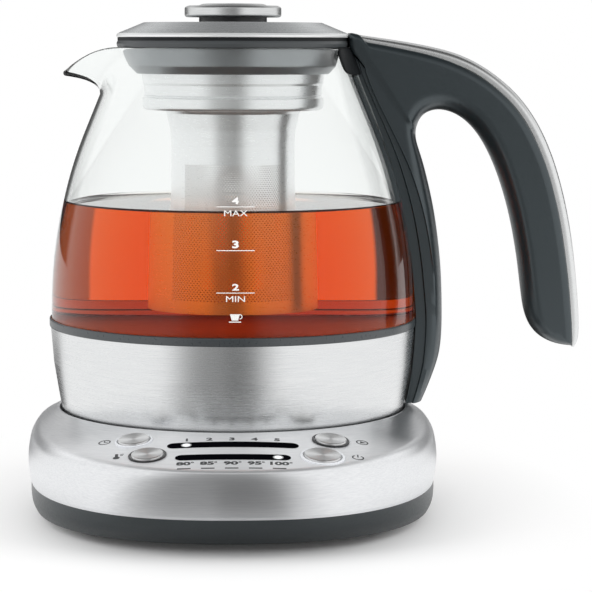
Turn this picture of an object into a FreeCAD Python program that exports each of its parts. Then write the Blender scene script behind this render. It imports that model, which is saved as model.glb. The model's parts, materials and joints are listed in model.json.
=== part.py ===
import FreeCAD, Part
import math
import os
import Sketcher

# Automatic tea maker: a glass jug with a lift-out infuser basket and lid, on an electric power base.
# Millimetres. Origin on the jug's axis at counter level, +Z up, +X towards the handle,
# -Y towards the control panel, spout towards -X.

document = FreeCAD.newDocument("TeaMaker")

# ---------------------------------------------------------------- driving dimensions

driving_sizes = {
    # feet and skirt of the base; its plan is rounded, and longer in front
    "foot_height": 3.5,
    "foot_radius": 9.0,
    "foot_recess_depth": 0.6,
    "foot_inset_length": 24.3,
    "skirt_height": 13.0,
    "skirt_wall": 2.4,
    "skirt_bulge_depth": 1.0,
    "skirt_taper_width": 4.0,
    "skirt_front_taper_length": 16.0,
    "skirt_back_taper_length": 6.0,
    "floor_thickness": 2.4,
    "plan_exponent": 2.35,
    # steel cover: from the skirt up to a shoulder, and then in to the round rim of the seat
    "cover_side_height": 24.0,
    "cover_front_height": 20.7,
    "cover_wall": 1.2,
    "cover_bulge_depth": 2.0,
    "cover_side_spread": 5.0,
    "cover_front_spread": -6.5,
    "cover_back_spread": 4.5,
    "shoulder_side_width": 7.7,
    "shoulder_back_width": 10.2,
    "panel_length": 39.2,
    "rim_rise_height": 4.9,
    "rim_radius": 75.3,
    "rim_wall": 1.0,
    "seat_depth": 3.9,
    "seat_thickness": 2.0,
    "seat_ledge_width": 4.0,
    "lap_height": 4.0,
    "lap_wall": 1.5,
    "fit_gap": 0.2,
    "running_gap": 0.05,
    "contact_gap": 0.1,
    "moving_gap": 0.35,
    "cut_margin_length": 1.0,
    # control panel, in the sloped front of the cover; setbacks run forward from the rim
    "steep_button_x": -39.4,
    "steep_button_setback_length": 3.3,
    "temperature_button_x": -33.4,
    "temperature_button_setback_length": 20.7,
    "timer_button_x": 38.9,
    "timer_button_setback_length": 3.7,
    "start_button_x": 35.0,
    "start_button_setback_length": 21.7,
    "button_radius": 6.4,
    "start_button_radius": 7.4,
    "bezel_wall": 0.8,
    "bezel_depth": 2.2,
    "button_proud_height": 0.8,
    "button_travel_length": 0.8,
    "button_flange_thickness": 0.9,
    "stem_radius": 1.8,
    "window_half_width": 3.0,
    "time_window_half_length": 26.2,
    "time_window_setback_length": 12.0,
    "temperature_window_half_length": 22.8,
    "temperature_window_setback_length": 24.8,
    "window_recess_depth": 0.6,
    "window_thickness": 1.6,
    "led_radius": 1.4,
    "time_led_pitch": 9.0,
    "temperature_led_pitch": 9.2,
    # control board, parallel to the panel
    "board_depth": 14.0,
    "board_thickness": 1.6,
    "board_half_length": 43.0,
    "board_back_setback_length": 1.7,
    "board_front_setback_length": 25.7,
    "switch_side_length": 6.0,
    "switch_height": 3.4,
    "plunger_radius": 1.7,
    "plunger_height": 0.9,
    "board_post_radius": 2.2,
    "back_post_x": 20.0,
    "back_post_setback_length": 5.1,
    "front_post_x": 15.0,
    # power parts under the seat
    "standoff_radius": 3.0,
    "standoff_height": 9.1,
    "power_board_length": 72.0,
    "power_board_width": 40.0,
    "power_board_inset_length": 31.3,
    "relay_length": 19.0,
    "relay_width": 15.5,
    "relay_height": 15.0,
    "transformer_length": 24.0,
    "transformer_width": 20.0,
    "transformer_height": 17.0,
    "capacitor_radius": 5.0,
    "capacitor_height": 16.0,
    "capacitor_shift_length": 6.0,
    "transformer_gap": 1.0,
    "relay_gap": 3.5,
    "screw_radius": 1.5,
    "screw_head_radius": 3.0,
    "screw_head_height": 2.0,
    "screw_length": 10.0,
    "screw_side_inset_length": 17.3,
    "screw_depth_inset_length": 53.3,
    "boss_radius": 3.8,
    "cord_bore_radius": 3.0,
    "gland_wall": 0.9,
    "gland_radius": 4.4,
    "gland_flange_thickness": 1.6,
    "gland_length": 12.0,
    # round cordless connector
    "post_radius": 9.5,
    "post_height": 10.5,
    "contact_pin_radius": 2.0,
    "contact_ring_radius": 6.5,
    "contact_ring_wall": 1.0,
    "contact_depth": 1.2,
    "housing_radius": 17.0,
    "housing_wall": 2.0,
    "housing_depth": 19.5,
    "housing_flange_width": 5.0,
    "shutter_radius": 13.0,
    "shutter_thickness": 1.4,
    # steel band, ring, heater and underside of the jug
    "band_gap": 1.3,
    "band_lift_height": 1.5,
    "band_height": 33.9,
    "band_flare_width": 4.8,
    "band_wall": 1.0,
    "band_curve_radius": 130.0,
    "ring_overhang_width": 0.5,
    "ring_height": 6.1,
    "ring_ledge_width": 1.4,
    "gasket_thickness": 1.0,
    "plate_thickness": 1.5,
    "element_radius": 46.0,
    "element_tube_radius": 4.0,
    "sensor_radius": 8.0,
    "sensor_height": 8.0,
    "carrier_radius": 6.0,
    "underside_thickness": 2.0,
    "underside_inset_width": 9.0,
    "jug_foot_width": 5.0,
    "jug_foot_height": 0.8,
    "socket_radius": 16.0,
    "socket_height": 16.5,
    "socket_wall": 2.5,
    "socket_flange_width": 4.0,
    "socket_clearance_height": 1.5,
    # glass jug
    "glass_wall": 2.4,
    "glass_lift_height": 2.3,
    "belly_inset_width": 0.3,
    "belly_height": 7.8,
    "shoulder_height": 75.0,
    "shoulder_inset_width": 14.3,
    "glass_curve_radius": 200.0,
    "neck_height": 35.7,
    "neck_taper_width": 14.6,
    "spout_length": 21.6,
    "spout_root_depth": 8.0,
    "spout_tip_depth": 11.5,
    "spout_tip_half_width": 3.4,
    "spout_root_half_width": 19.0,
    "spout_depth": 19.2,
    "spout_wall": 2.0,
    "spout_lip_depth": 1.4,
    "spout_opening_height": 3.0,
    # handle
    "bracket_gap": 0.4,
    "bracket_thickness": 3.0,
    "bracket_half_width": 9.0,
    "bracket_foot_width": 1.6,
    "bracket_top_depth": 10.7,
    "neck_pad_thickness": 2.3,
    "neck_pad_angle": 56.0,
    "neck_pad_top_depth": 0.7,
    "handle_rise_height": 6.5,
    "handle_root_gap": 2.0,
    "handle_reach_length": 71.5,
    "handle_lift_height": 3.7,
    "grip_lift_height": 24.9,
    "leg_depth": 12.3,
    "handle_half_width": 12.5,
    "trim_depth": 4.6,
    "trim_half_width": 9.5,
    "trim_proud_height": 0.3,
    "trim_gap": 0.15,
    # infuser basket
    "collar_lift_height": 0.3,
    "collar_height": 11.0,
    "collar_side_gap": 0.4,
    "collar_taper_width": 5.2,
    "collar_wall": 1.7,
    "collar_edge_width": 2.4,
    "collar_edge_height": 2.6,
    "collar_side_height": 6.0,
    "collar_lip_width": 0.9,
    "collar_rebate_width": 2.6,
    "collar_rebate_depth": 4.0,
    "seal_thickness": 3.5,
    "seal_overhang_width": 1.0,
    "seal_bore_gap": 0.6,
    "cup_wall": 0.8,
    "cup_side_gap": 0.8,
    "cup_lip_depth": 9.6,
    "cup_lip_width": 0.6,
    "cup_base_height": 5.6,
    "cup_corner_width": 3.0,
    "cup_corner_height": 1.6,
    "basket_neck_inset_width": 9.7,
    "basket_neck_taper_width": 2.2,
    "basket_neck_height": 11.8,
    "strainer_wall": 0.6,
    "strainer_lap_height": 3.0,
    "strainer_flare_width": 1.2,
    "strainer_lift_height": 10.6,
    "strainer_floor_thickness": 0.8,
    # lid
    "lid_inset_width": 0.1,
    "lid_slope_width": 11.4,
    "lid_slope_height": 5.2,
    "lid_edge_thickness": 1.4,
    "lid_edge_gap": 0.7,
    "lid_wall": 0.9,
    "lid_bore_radius": 3.0,
    "lid_plug_gap": 1.4,
    "lid_plug_depth": 5.1,
    "lid_rest_gap": 0.3,
    "knob_radius": 20.5,
    "knob_neck_radius": 14.4,
    "knob_neck_height": 2.3,
    "knob_edge_height": 4.9,
    "knob_edge_chamfer_width": 0.9,
    "knob_crown_width": 6.0,
    "knob_dome_height": 1.1,
    "knob_screw_depth": 2.5,
    "knob_screw_head_radius": 4.2,
}

sheet = document.addObject("Spreadsheet::Sheet", "Sizes")
for row, (alias, number) in enumerate(driving_sizes.items(), start=1):
    sheet.set("A{}".format(row), alias)
    sheet.set("B{}".format(row), str(number))
    sheet.setAlias("B{}".format(row), alias)
document.recompute()


class Size:
    """A number together with the sheet expression that it comes from."""

    def __init__(self, value, text):
        self.value = value
        self.text = text

    def combine(self, sign, other, value):
        return Size(value, "({} {} {})".format(self.text, sign, text_of(other)))

    def __add__(self, other):
        return self.combine("+", other, self.value + value_of(other))

    def __sub__(self, other):
        return self.combine("-", other, self.value - value_of(other))

    def __mul__(self, other):
        return self.combine("*", other, self.value * value_of(other))

    def __truediv__(self, other):
        return self.combine("/", other, self.value / value_of(other))

    def __neg__(self):
        return Size(-self.value, "(-1 * {})".format(self.text))


def value_of(size):
    return size.value if isinstance(size, Size) else float(size)


def text_of(size):
    return size.text if isinstance(size, Size) else repr(float(size))


def fixed(number):
    """A worked-out number with no sheet expression of its own."""
    return Size(number, repr(number))


class Cells:
    """The sheet's cells by alias, each as a Size."""

    def __getattr__(self, alias):
        return Size(float(sheet.get(alias)), "Sizes." + alias)


cell = Cells()
zero = cell.fit_gap * 0.0

# ---------------------------------------------------------------- sizes that follow from others

# heights, from the counter up
skirt_top_height = cell.foot_height + cell.skirt_height
shoulder_side_height = skirt_top_height + cell.cover_side_height
shoulder_front_height = skirt_top_height + cell.cover_front_height
rim_height = shoulder_side_height + cell.rim_rise_height
seat_height = rim_height - cell.seat_depth
post_top_height = seat_height + cell.post_height
band_bottom_height = seat_height + cell.band_lift_height
band_top_height = band_bottom_height + cell.band_height
ring_top_height = band_top_height + cell.ring_height
socket_top_height = seat_height + cell.socket_height
glass_bottom_height = band_top_height + cell.glass_lift_height
glass_belly_height = glass_bottom_height + cell.belly_height
glass_shoulder_height = glass_belly_height + cell.shoulder_height
glass_rim_height = glass_shoulder_height + cell.neck_height
bracket_top_height = glass_rim_height - cell.bracket_top_depth
neck_pad_top_height = glass_rim_height - cell.neck_pad_top_depth
handle_top_height = glass_rim_height + cell.handle_rise_height
handle_bottom_height = band_bottom_height + cell.handle_lift_height
grip_bottom_height = handle_bottom_height + cell.grip_lift_height
collar_top_height = glass_rim_height + cell.collar_lift_height
collar_bottom_height = collar_top_height - cell.collar_height
collar_ledge_height = collar_top_height - cell.collar_rebate_depth
seal_top_height = collar_top_height + cell.seal_thickness
cup_lip_height = collar_bottom_height - cell.cup_lip_depth
cup_bottom_height = cup_lip_height - cell.cup_base_height
basket_neck_bottom_height = cup_bottom_height - cell.basket_neck_height
strainer_top_height = basket_neck_bottom_height - cell.strainer_lap_height
strainer_bottom_height = band_top_height + cell.plate_thickness + cell.strainer_lift_height
lid_edge_height = seal_top_height + cell.lid_edge_gap
lid_shoulder_height = lid_edge_height + cell.lid_edge_thickness
lid_top_height = lid_shoulder_height + cell.lid_slope_height
lid_plug_bottom_height = seal_top_height - cell.lid_plug_depth

# radii of the jug, from the rim of the seat that it stands in
rim_inner_radius = cell.rim_radius - cell.rim_wall
band_bottom_radius = rim_inner_radius - cell.band_gap
band_top_radius = band_bottom_radius + cell.band_flare_width
ring_radius = band_top_radius + cell.ring_overhang_width
jug_foot_radius = band_bottom_radius - cell.underside_inset_width
glass_belly_radius = band_top_radius - cell.belly_inset_width
glass_shoulder_radius = glass_belly_radius - cell.shoulder_inset_width
glass_rim_radius = glass_shoulder_radius - cell.neck_taper_width
spout_reach = glass_rim_radius + cell.spout_length
handle_root_radius = glass_rim_radius + cell.handle_root_gap
handle_reach = glass_belly_radius + cell.handle_reach_length
leg_outer_radius = glass_belly_radius + cell.leg_depth

# radii of the basket and the lid, from the glass neck that they sit in
collar_top_radius = glass_rim_radius - cell.glass_wall - cell.collar_side_gap
collar_bottom_radius = collar_top_radius - cell.collar_taper_width
collar_bore_radius = collar_bottom_radius - cell.collar_wall
collar_rebate_radius = collar_top_radius - cell.collar_rebate_width
seal_radius = glass_rim_radius + cell.seal_overhang_width
seal_bore_radius = collar_rebate_radius + cell.seal_bore_gap
cup_radius = collar_bore_radius - cell.cup_side_gap
cup_lip_radius = cup_radius + cell.cup_lip_width
basket_neck_top_radius = cup_radius - cell.basket_neck_inset_width
basket_neck_bottom_radius = basket_neck_top_radius - cell.basket_neck_taper_width
strainer_bottom_radius = basket_neck_bottom_radius + cell.strainer_flare_width
lid_radius = seal_radius - cell.lid_inset_width
lid_flat_radius = lid_radius - cell.lid_slope_width
lid_plug_radius = seal_bore_radius - cell.lid_plug_gap

# ---------------------------------------------------------------- builders


def bind(feature, path, size):
    feature.setExpression(path, text_of(size))


def move(feature, x=0.0, y=0.0, z=0.0):
    for axis, distance in (("x", x), ("y", y), ("z", z)):
        bind(feature, "Placement.Base." + axis, distance)
    return feature


def cylinder(radius, low, high, x=0.0, y=0.0):
    feature = document.addObject("Part::Cylinder", "Cylinder")
    bind(feature, "Radius", radius)
    bind(feature, "Height", high - low)
    return move(feature, x, y, low)


def block(length, width, low, high, x=0.0, y=0.0):
    feature = document.addObject("Part::Box", "Block")
    bind(feature, "Length", length)
    bind(feature, "Width", width)
    bind(feature, "Height", high - low)
    return move(feature, x - length / 2.0, y - width / 2.0, low)


def shape_feature(name, shape, placement=None):
    feature = document.addObject("Part::Feature", name)
    feature.Shape = shape
    if placement is not None:
        feature.Placement = placement
    return feature


def fuse(*parts):
    feature = document.addObject("Part::MultiFuse", "Fusion")
    feature.Shapes = list(parts)
    return feature


def cut(base, *tools):
    feature = document.addObject("Part::Cut", "Cut")
    feature.Base = base
    feature.Tool = tools[0] if len(tools) == 1 else fuse(*tools)
    return feature


def gather(parts):
    feature = document.addObject("Part::Compound", "Group")
    feature.Links = list(parts)
    return feature


def tube(outer, inner, low, high, x=0.0, y=0.0):
    bore = cylinder(inner, low - cell.cut_margin_length, high + cell.cut_margin_length, x, y)
    return cut(cylinder(outer, low, high, x, y), bore)


def origin_plane(body, role):
    for item in body.Origin.OriginFeatures:
        if item.Role == role:
            return item
    raise RuntimeError("no " + role)


def arc_through(start, end, radius, side):
    """Arc of the given radius from start to end; side +1 bulges to the left of the way, -1 right."""
    middle = (start + end) * 0.5
    chord = end - start
    rise = math.sqrt(max(radius * radius - chord.Length * chord.Length / 4.0, 0.0))
    left = FreeCAD.Vector(-chord.y, chord.x, 0).normalize()
    centre = middle - left * rise * side
    top = centre + left * radius * side
    return Part.Arc(start, top, end)


def draw_profile(body, points):
    """Closed sketch on the body's XZ plane. A point is (x, z) or (x, z, radius, side): then the edge
    that follows it is an arc. Every point and radius is bound to the sheet."""
    sketch = body.newObject("Sketcher::SketchObject", "Profile")
    sketch.AttachmentSupport = [(origin_plane(body, "XZ_Plane"), "")]
    sketch.MapMode = "FlatFace"
    corners = [FreeCAD.Vector(value_of(point[0]), value_of(point[1]), 0) for point in points]
    count = len(points)
    ends = []
    for index, point in enumerate(points):
        start = corners[index]
        end = corners[(index + 1) % count]
        if len(point) == 2:
            ends.append((sketch.addGeometry(Part.LineSegment(start, end)), 1, 2))
            continue
        arc = sketch.addGeometry(arc_through(start, end, value_of(point[2]), point[3]))
        forward = sketch.getPoint(arc, 1).distanceToPoint(start) < 1e-6
        ends.append((arc, 1, 2) if forward else (arc, 2, 1))
        constraint = sketch.addConstraint(Sketcher.Constraint("Radius", arc, value_of(point[2])))
        bind(sketch, "Constraints[{}]".format(constraint), point[2])
    for index, point in enumerate(points):
        geometry, first, last = ends[index]
        following, next_first, unused_last = ends[(index + 1) % count]
        sketch.addConstraint(Sketcher.Constraint("Coincident", geometry, last, following, next_first))
        for kind, size in (("DistanceX", point[0]), ("DistanceY", point[1])):
            constraint = sketch.addConstraint(
                Sketcher.Constraint(kind, -1, 1, geometry, first, value_of(size)))
            bind(sketch, "Constraints[{}]".format(constraint), size)
    return sketch


def turned(points, angle=360.0):
    """Body of revolution about Z; an angle under 360 is centred on +X."""
    body = document.addObject("PartDesign::Body", "Turned")
    sketch = draw_profile(body, points)
    revolution = body.newObject("PartDesign::Revolution", "Revolution")
    revolution.Profile = sketch
    revolution.ReferenceAxis = (sketch, ["V_Axis"])
    bind(revolution, "Angle", angle)
    revolution.Midplane = True
    sketch.Visibility = False
    body.Tip = revolution
    return body


nodes = {}


def keep(label, feature):
    feature.Label = label
    nodes[label] = feature
    return feature


def closed_curve(points):
    curve = Part.BSplineCurve()
    curve.interpolate(points, PeriodicFlag=True)
    return Part.Wire([curve.toShape()])


def signed_power(number, exponent):
    return math.copysign(abs(number) ** exponent, number)


# ---------------------------------------------------------------- base housing

outline_steps = 40


def plan_curve(level, exponent=None):
    """Closed plan outline. level is (half width, front, back, side height, front height)."""
    half_width, front, back, side_height, front_height = (value_of(number) for number in level)
    power = 2.0 / (exponent or value_of(cell.plan_exponent))
    points = []
    for step in range(outline_steps):
        angle = 2.0 * math.pi * (step + 0.5) / outline_steps
        x = half_width * signed_power(math.cos(angle), power)
        y = (back if math.sin(angle) > 0 else front) * signed_power(math.sin(angle), power)
        share = max(0.0, -y / front) ** 2
        points.append(FreeCAD.Vector(x, y, side_height + (front_height - side_height) * share))
    return closed_curve(points)


def inset_level(level, wall, drop=0.0):
    half_width, front, back, side_height, front_height = level
    return (half_width - wall, front - wall, back - wall, side_height - drop, front_height - drop)


def plan_solid(levels, round_top=None):
    """Solid through plan outlines, and then up to a circle (radius, height) if one is given."""
    wires = [plan_curve(level) for level in levels]
    if round_top:
        radius, height = round_top
        wires.append(plan_curve((radius, radius, radius, height, height), 2.0))
    return Part.makeLoft(wires, True, True)


def between(low, high, share, bulge):
    """Level part of the way from one level to another, pushed out by bulge."""
    mixed = [a + (b - a) * share for a, b in zip(low, high)]
    return (mixed[0] + bulge, mixed[1] + bulge, mixed[2] + bulge, mixed[3], mixed[4])


shoulder = (cell.rim_radius + cell.shoulder_side_width, cell.rim_radius + cell.panel_length,
            cell.rim_radius + cell.shoulder_back_width, shoulder_side_height, shoulder_front_height)
skirt_top = (shoulder[0] + cell.cover_side_spread, shoulder[1] + cell.cover_front_spread,
             shoulder[2] + cell.cover_back_spread, skirt_top_height, skirt_top_height)
skirt_bottom = (skirt_top[0] - cell.skirt_taper_width, skirt_top[1] - cell.skirt_front_taper_length,
                skirt_top[2] - cell.skirt_back_taper_length, cell.foot_height, cell.foot_height)
# share of the way from the skirt's top to the shoulder, and share of the cover's bulge there
cover_shape = ((0.35, 0.65), (0.68, 1.0), (0.86, 0.85))
skirt_shape = ((0.3, 1.0), (0.65, 0.8))
cover_levels = [skirt_top] + [between(skirt_top, shoulder, way, cell.cover_bulge_depth * bulge)
                              for way, bulge in cover_shape] + [shoulder]
skirt_levels = [skirt_bottom] + [between(skirt_bottom, skirt_top, way, cell.skirt_bulge_depth * bulge)
                                 for way, bulge in skirt_shape] + [skirt_top]
panel_fall = (rim_height - shoulder_front_height) / cell.panel_length


def inner_levels(levels, wall, low, high):
    """The same levels set in by a wall; the first and last take the given heights."""
    inner = [inset_level(level, wall) for level in levels]
    inner[0] = inner[0][:3] + (low, low)
    inner[-1] = inner[-1][:3] + high
    return inner


cover_cavity_levels = inner_levels(
    cover_levels, cell.cover_wall, skirt_top_height - cell.cut_margin_length,
    (shoulder_side_height - cell.cover_wall, shoulder_front_height - cell.cover_wall))
ledge_bottom_height = seat_height - cell.seat_thickness - cell.cover_wall
cover_shell = cut(
    shape_feature("CoverOutside", plan_solid(cover_levels, (cell.rim_radius, rim_height))),
    shape_feature("CoverInside", plan_solid(
        cover_cavity_levels, (cell.rim_radius - cell.cover_wall, rim_height - cell.cover_wall))))
rim_wall_solid = cylinder(cell.rim_radius, ledge_bottom_height, rim_height - cell.fit_gap)


class PanelPoint:
    """A spot on the sloped panel: its place, and the outward normal of the cone it lies on."""

    def __init__(self, x, y):
        radius = math.hypot(x, y)
        slope = value_of(panel_fall)
        height = value_of(rim_height) - (radius - value_of(cell.rim_radius)) * slope
        self.place = FreeCAD.Vector(x, y, height)
        self.normal = FreeCAD.Vector(slope * x / radius, slope * y / radius, 1.0).normalize()

    def placement(self, depth=0.0):
        turn = FreeCAD.Rotation(FreeCAD.Vector(0, 0, 1), self.normal)
        return FreeCAD.Placement(self.place - self.normal * depth, turn)


def disc_at(spot, radius, low, high):
    """Cylinder on the panel's normal, from low to high above its surface."""
    feature = document.addObject("Part::Cylinder", "Disc")
    bind(feature, "Radius", radius)
    bind(feature, "Height", high - low)
    feature.Placement = spot.placement(-value_of(low))
    return feature


def slab_at(spot, half_length, half_width, low, high):
    """Box on the panel's normal, long along X, from low to high above its surface."""
    feature = document.addObject("Part::Box", "Slab")
    bind(feature, "Length", half_length * 2.0)
    bind(feature, "Width", half_width * 2.0)
    bind(feature, "Height", high - low)
    corner = FreeCAD.Placement(
        FreeCAD.Vector(-value_of(half_length), -value_of(half_width), 0), FreeCAD.Rotation())
    feature.Placement = spot.placement(-value_of(low)).multiply(corner)
    return feature


def stadium_at(spot, half_length, half_width, low, high):
    """Slab with half-round ends on the panel's normal."""
    middle_half_length = half_length - half_width
    solids = [slab_at(spot, middle_half_length, half_width, low, high)]
    for side in (-1.0, 1.0):
        end = PanelPoint(spot.place.x, spot.place.y)
        end.place = spot.place + FreeCAD.Vector(value_of(middle_half_length) * side, 0, 0)
        solids.append(disc_at(end, half_width, low, high))
    return fuse(*solids)


def in_front_of_rim(setback):
    return -(cell.rim_radius + setback)


buttons = {
    "steep_time_button": (
        cell.steep_button_x, in_front_of_rim(cell.steep_button_setback_length), cell.button_radius),
    "temperature_button": (
        cell.temperature_button_x, in_front_of_rim(cell.temperature_button_setback_length),
        cell.button_radius),
    "timer_button": (
        cell.timer_button_x, in_front_of_rim(cell.timer_button_setback_length), cell.button_radius),
    "start_button": (
        cell.start_button_x, in_front_of_rim(cell.start_button_setback_length),
        cell.start_button_radius),
}
time_window_y = in_front_of_rim(cell.time_window_setback_length)
temperature_window_y = in_front_of_rim(cell.temperature_window_setback_length)
windows = {
    "time_window": (time_window_y, cell.time_window_half_length),
    "temperature_window": (temperature_window_y, cell.temperature_window_half_length),
}


def button_spot(label):
    x, y, unused_radius = buttons[label]
    return PanelPoint(value_of(x), value_of(y))


window_crown_share = 0.7


def window_spot(label):
    """A window is flat, so it lies a little under the cone's crown."""
    y, half_length = windows[label]
    corner = PanelPoint(value_of(half_length) * window_crown_share, value_of(y))
    spot = PanelPoint(0.0, value_of(y))
    spot.place.z = corner.place.z
    return spot


def hole_radius(radius):
    return radius + cell.moving_gap + cell.bezel_wall


through = cell.cover_wall * 5.0  # a panel hole's cutter reaches this far above and below the surface
panel_holes = [disc_at(button_spot(label), hole_radius(size[2]) + cell.fit_gap, -through, through)
               for label, size in buttons.items()]
panel_holes += [stadium_at(window_spot(label), size[1], cell.window_half_width, -through, through)
                for label, size in windows.items()]
ledge_radius = rim_inner_radius - cell.seat_ledge_width
keep("base_cover", cut(
    fuse(cover_shell, rim_wall_solid),
    cylinder(rim_inner_radius, ledge_bottom_height + cell.cover_wall, rim_height + cell.cut_margin_length),
    cylinder(ledge_radius, ledge_bottom_height - cell.cut_margin_length, rim_height),
    *panel_holes))

floor_top_height = cell.foot_height + cell.floor_thickness
skirt_cavity = shape_feature("SkirtInside", plan_solid(
    [inset_level(skirt_bottom, cell.skirt_wall, cell.cut_margin_length)]
    + [inset_level(level, cell.skirt_wall) for level in skirt_levels[1:-1]]
    + [inset_level(skirt_top, cell.skirt_wall, -cell.cut_margin_length)]))
lap_inset = cell.cover_wall + cell.fit_gap * 2.0
lap_top = skirt_top_height + cell.lap_height
lap_root = skirt_top_height - cell.lap_wall


def lap_level(inset, height):
    """The cover's own outline, set in, at a height within the lap joint."""
    share = value_of(height - skirt_top_height) / value_of(cell.cover_side_height)
    bulge = cell.cover_bulge_depth * (cover_shape[0][1] * share)
    level = inset_level(between(skirt_top, shoulder, share, bulge), inset)
    return level[:3] + (height, height)


lap = cut(
    shape_feature("LapOutside", plan_solid([lap_level(lap_inset, lap_root), lap_level(lap_inset, lap_top)])),
    shape_feature("LapInside", plan_solid([
        lap_level(lap_inset + cell.lap_wall, lap_root - cell.cut_margin_length),
        lap_level(lap_inset + cell.lap_wall, lap_top + cell.cut_margin_length)])))
gland_height = floor_top_height + cell.gland_radius + cell.fit_gap
# the gland's flange seats a little into the skirt's slope, clear of its inside
gland_seat_depth = 0.6
gland_flange_y = skirt_bottom[2] - cell.skirt_wall - cell.gland_flange_thickness + gland_seat_depth


def rod_along_y(radius, start, length):
    """Cylinder on the cord gland's axis, from a given Y towards the back."""
    feature = document.addObject("Part::Cylinder", "Rod")
    bind(feature, "Radius", radius)
    bind(feature, "Height", length)
    feature.Placement = FreeCAD.Placement(
        FreeCAD.Vector(0, value_of(start), value_of(gland_height)),
        FreeCAD.Rotation(FreeCAD.Vector(1, 0, 0), -90))
    return feature


gland_neck_radius = cell.cord_bore_radius + cell.gland_wall
gland_hole = rod_along_y(gland_neck_radius + cell.fit_gap, gland_flange_y, cell.gland_length * 2.0)

screw_x = cell.rim_radius - cell.screw_side_inset_length
screw_y = cell.rim_radius - cell.screw_depth_inset_length
screw_spots = [(screw_x * sx, screw_y * sy) for sx in (-1.0, 1.0) for sy in (-1.0, 1.0)]
skirt_shell = cut(shape_feature("SkirtOutside", plan_solid(skirt_levels)), skirt_cavity)
keep("base_skirt", cut(fuse(skirt_shell, lap), gland_hole))

bottom_inset = cell.skirt_wall + cell.fit_gap
bottom_share = value_of(cell.floor_thickness) / value_of(cell.skirt_height)
bottom_bulge = cell.skirt_bulge_depth * (bottom_share / skirt_shape[0][0])
bottom_top = inset_level(between(skirt_bottom, skirt_top, bottom_share, bottom_bulge), bottom_inset)
bottom_solid = shape_feature("BottomSolid", plan_solid([
    inset_level(skirt_bottom, bottom_inset), bottom_top[:3] + (floor_top_height, floor_top_height)]))
foot_place = cell.rim_radius - cell.foot_inset_length
foot_spots = [(foot_place * sx, foot_place * sy) for sx in (-1.0, 1.0) for sy in (-1.0, 1.0)]
foot_pockets = [cylinder(cell.foot_radius + cell.fit_gap, cell.foot_height - cell.cut_margin_length,
                         cell.foot_height + cell.foot_recess_depth, x, y) for x, y in foot_spots]
screw_holes = [cylinder(cell.screw_radius + cell.fit_gap, cell.foot_height - cell.cut_margin_length,
                        floor_top_height + cell.cut_margin_length, x, y) for x, y in screw_spots]
keep("bottom_plate", cut(bottom_solid, *(foot_pockets + screw_holes)))
keep("feet", gather([cylinder(cell.foot_radius, zero, cell.foot_height + cell.foot_recess_depth, x, y)
                     for x, y in foot_spots]))

keep("cord_gland", cut(
    fuse(rod_along_y(cell.gland_radius, gland_flange_y, cell.gland_flange_thickness),
         rod_along_y(gland_neck_radius, gland_flange_y, cell.gland_length)),
    rod_along_y(cell.cord_bore_radius, gland_flange_y - cell.cut_margin_length,
                cell.gland_length + cell.cut_margin_length * 2.0)))


def screw(x, y, head_top):
    """Round-head screw that points up, with its head under a given height."""
    head = cylinder(cell.screw_head_radius, head_top - cell.screw_head_height, head_top, x, y)
    shank = cylinder(cell.screw_radius - cell.moving_gap, head_top - cell.screw_head_height / 2.0,
                     head_top + cell.screw_length, x, y)
    return fuse(head, shank)


keep("housing_screws", gather([screw(x, y, cell.foot_height) for x, y in screw_spots]))

# seat that the jug stands on, with the round connector in its middle
seat_bottom_height = seat_height - cell.seat_thickness
screw_bosses = [cylinder(cell.boss_radius, floor_top_height, seat_height - cell.seat_thickness / 2.0, x, y)
                for x, y in screw_spots]
boss_bores = [cylinder(cell.screw_radius - cell.fit_gap, floor_top_height - cell.cut_margin_length,
                       floor_top_height + cell.screw_length, x, y) for x, y in screw_spots]
keep("seat_plate", cut(
    fuse(tube(rim_inner_radius - cell.fit_gap, cell.housing_radius + cell.fit_gap,
              seat_bottom_height, seat_height), *screw_bosses),
    *boss_bores))
housing_bottom_height = seat_height - cell.housing_depth
housing_bore_radius = cell.post_radius - cell.housing_wall
housing_flange_radius = cell.housing_radius + cell.housing_flange_width
socket_recess_height = seat_height - cell.shutter_thickness
keep("connector_housing", turned([
    (housing_bore_radius, housing_bottom_height),
    (cell.housing_radius, housing_bottom_height),
    (cell.housing_radius, seat_bottom_height - cell.housing_wall),
    (housing_flange_radius, seat_bottom_height - cell.housing_wall),
    (housing_flange_radius, seat_bottom_height),
    (cell.housing_radius, seat_bottom_height),
    (cell.housing_radius, seat_height),
    (cell.shutter_radius + cell.moving_gap, seat_height),
    (cell.shutter_radius + cell.moving_gap, socket_recess_height),
    (housing_bore_radius, socket_recess_height),
]))
keep("contact_post", cut(
    cylinder(cell.post_radius, socket_recess_height, post_top_height),
    tube(cell.contact_ring_radius + cell.contact_ring_wall, cell.contact_ring_radius,
         seat_height, post_top_height + cell.cut_margin_length),
    cylinder(cell.contact_pin_radius, seat_height, post_top_height + cell.cut_margin_length)))
contact_top = post_top_height - cell.contact_depth
keep("contact_ring", tube(cell.contact_ring_radius + cell.contact_ring_wall - cell.contact_gap,
                          cell.contact_ring_radius + cell.contact_gap, seat_height, contact_top))
keep("contact_pin", cylinder(cell.contact_pin_radius - cell.contact_gap, seat_height, contact_top))
keep("connector_shutter", tube(cell.shutter_radius, cell.post_radius + cell.running_gap,
                               socket_recess_height, seat_height))

# ---------------------------------------------------------------- control panel

board_middle_y = in_front_of_rim((cell.board_back_setback_length + cell.board_front_setback_length) / 2.0)
board_middle = PanelPoint(0.0, value_of(board_middle_y))
board_half_width = (cell.board_front_setback_length - cell.board_back_setback_length) / 2.0
board_top_depth = -cell.board_depth
keep("control_board", slab_at(board_middle, cell.board_half_length, board_half_width,
                              board_top_depth - cell.board_thickness, board_top_depth))


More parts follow.
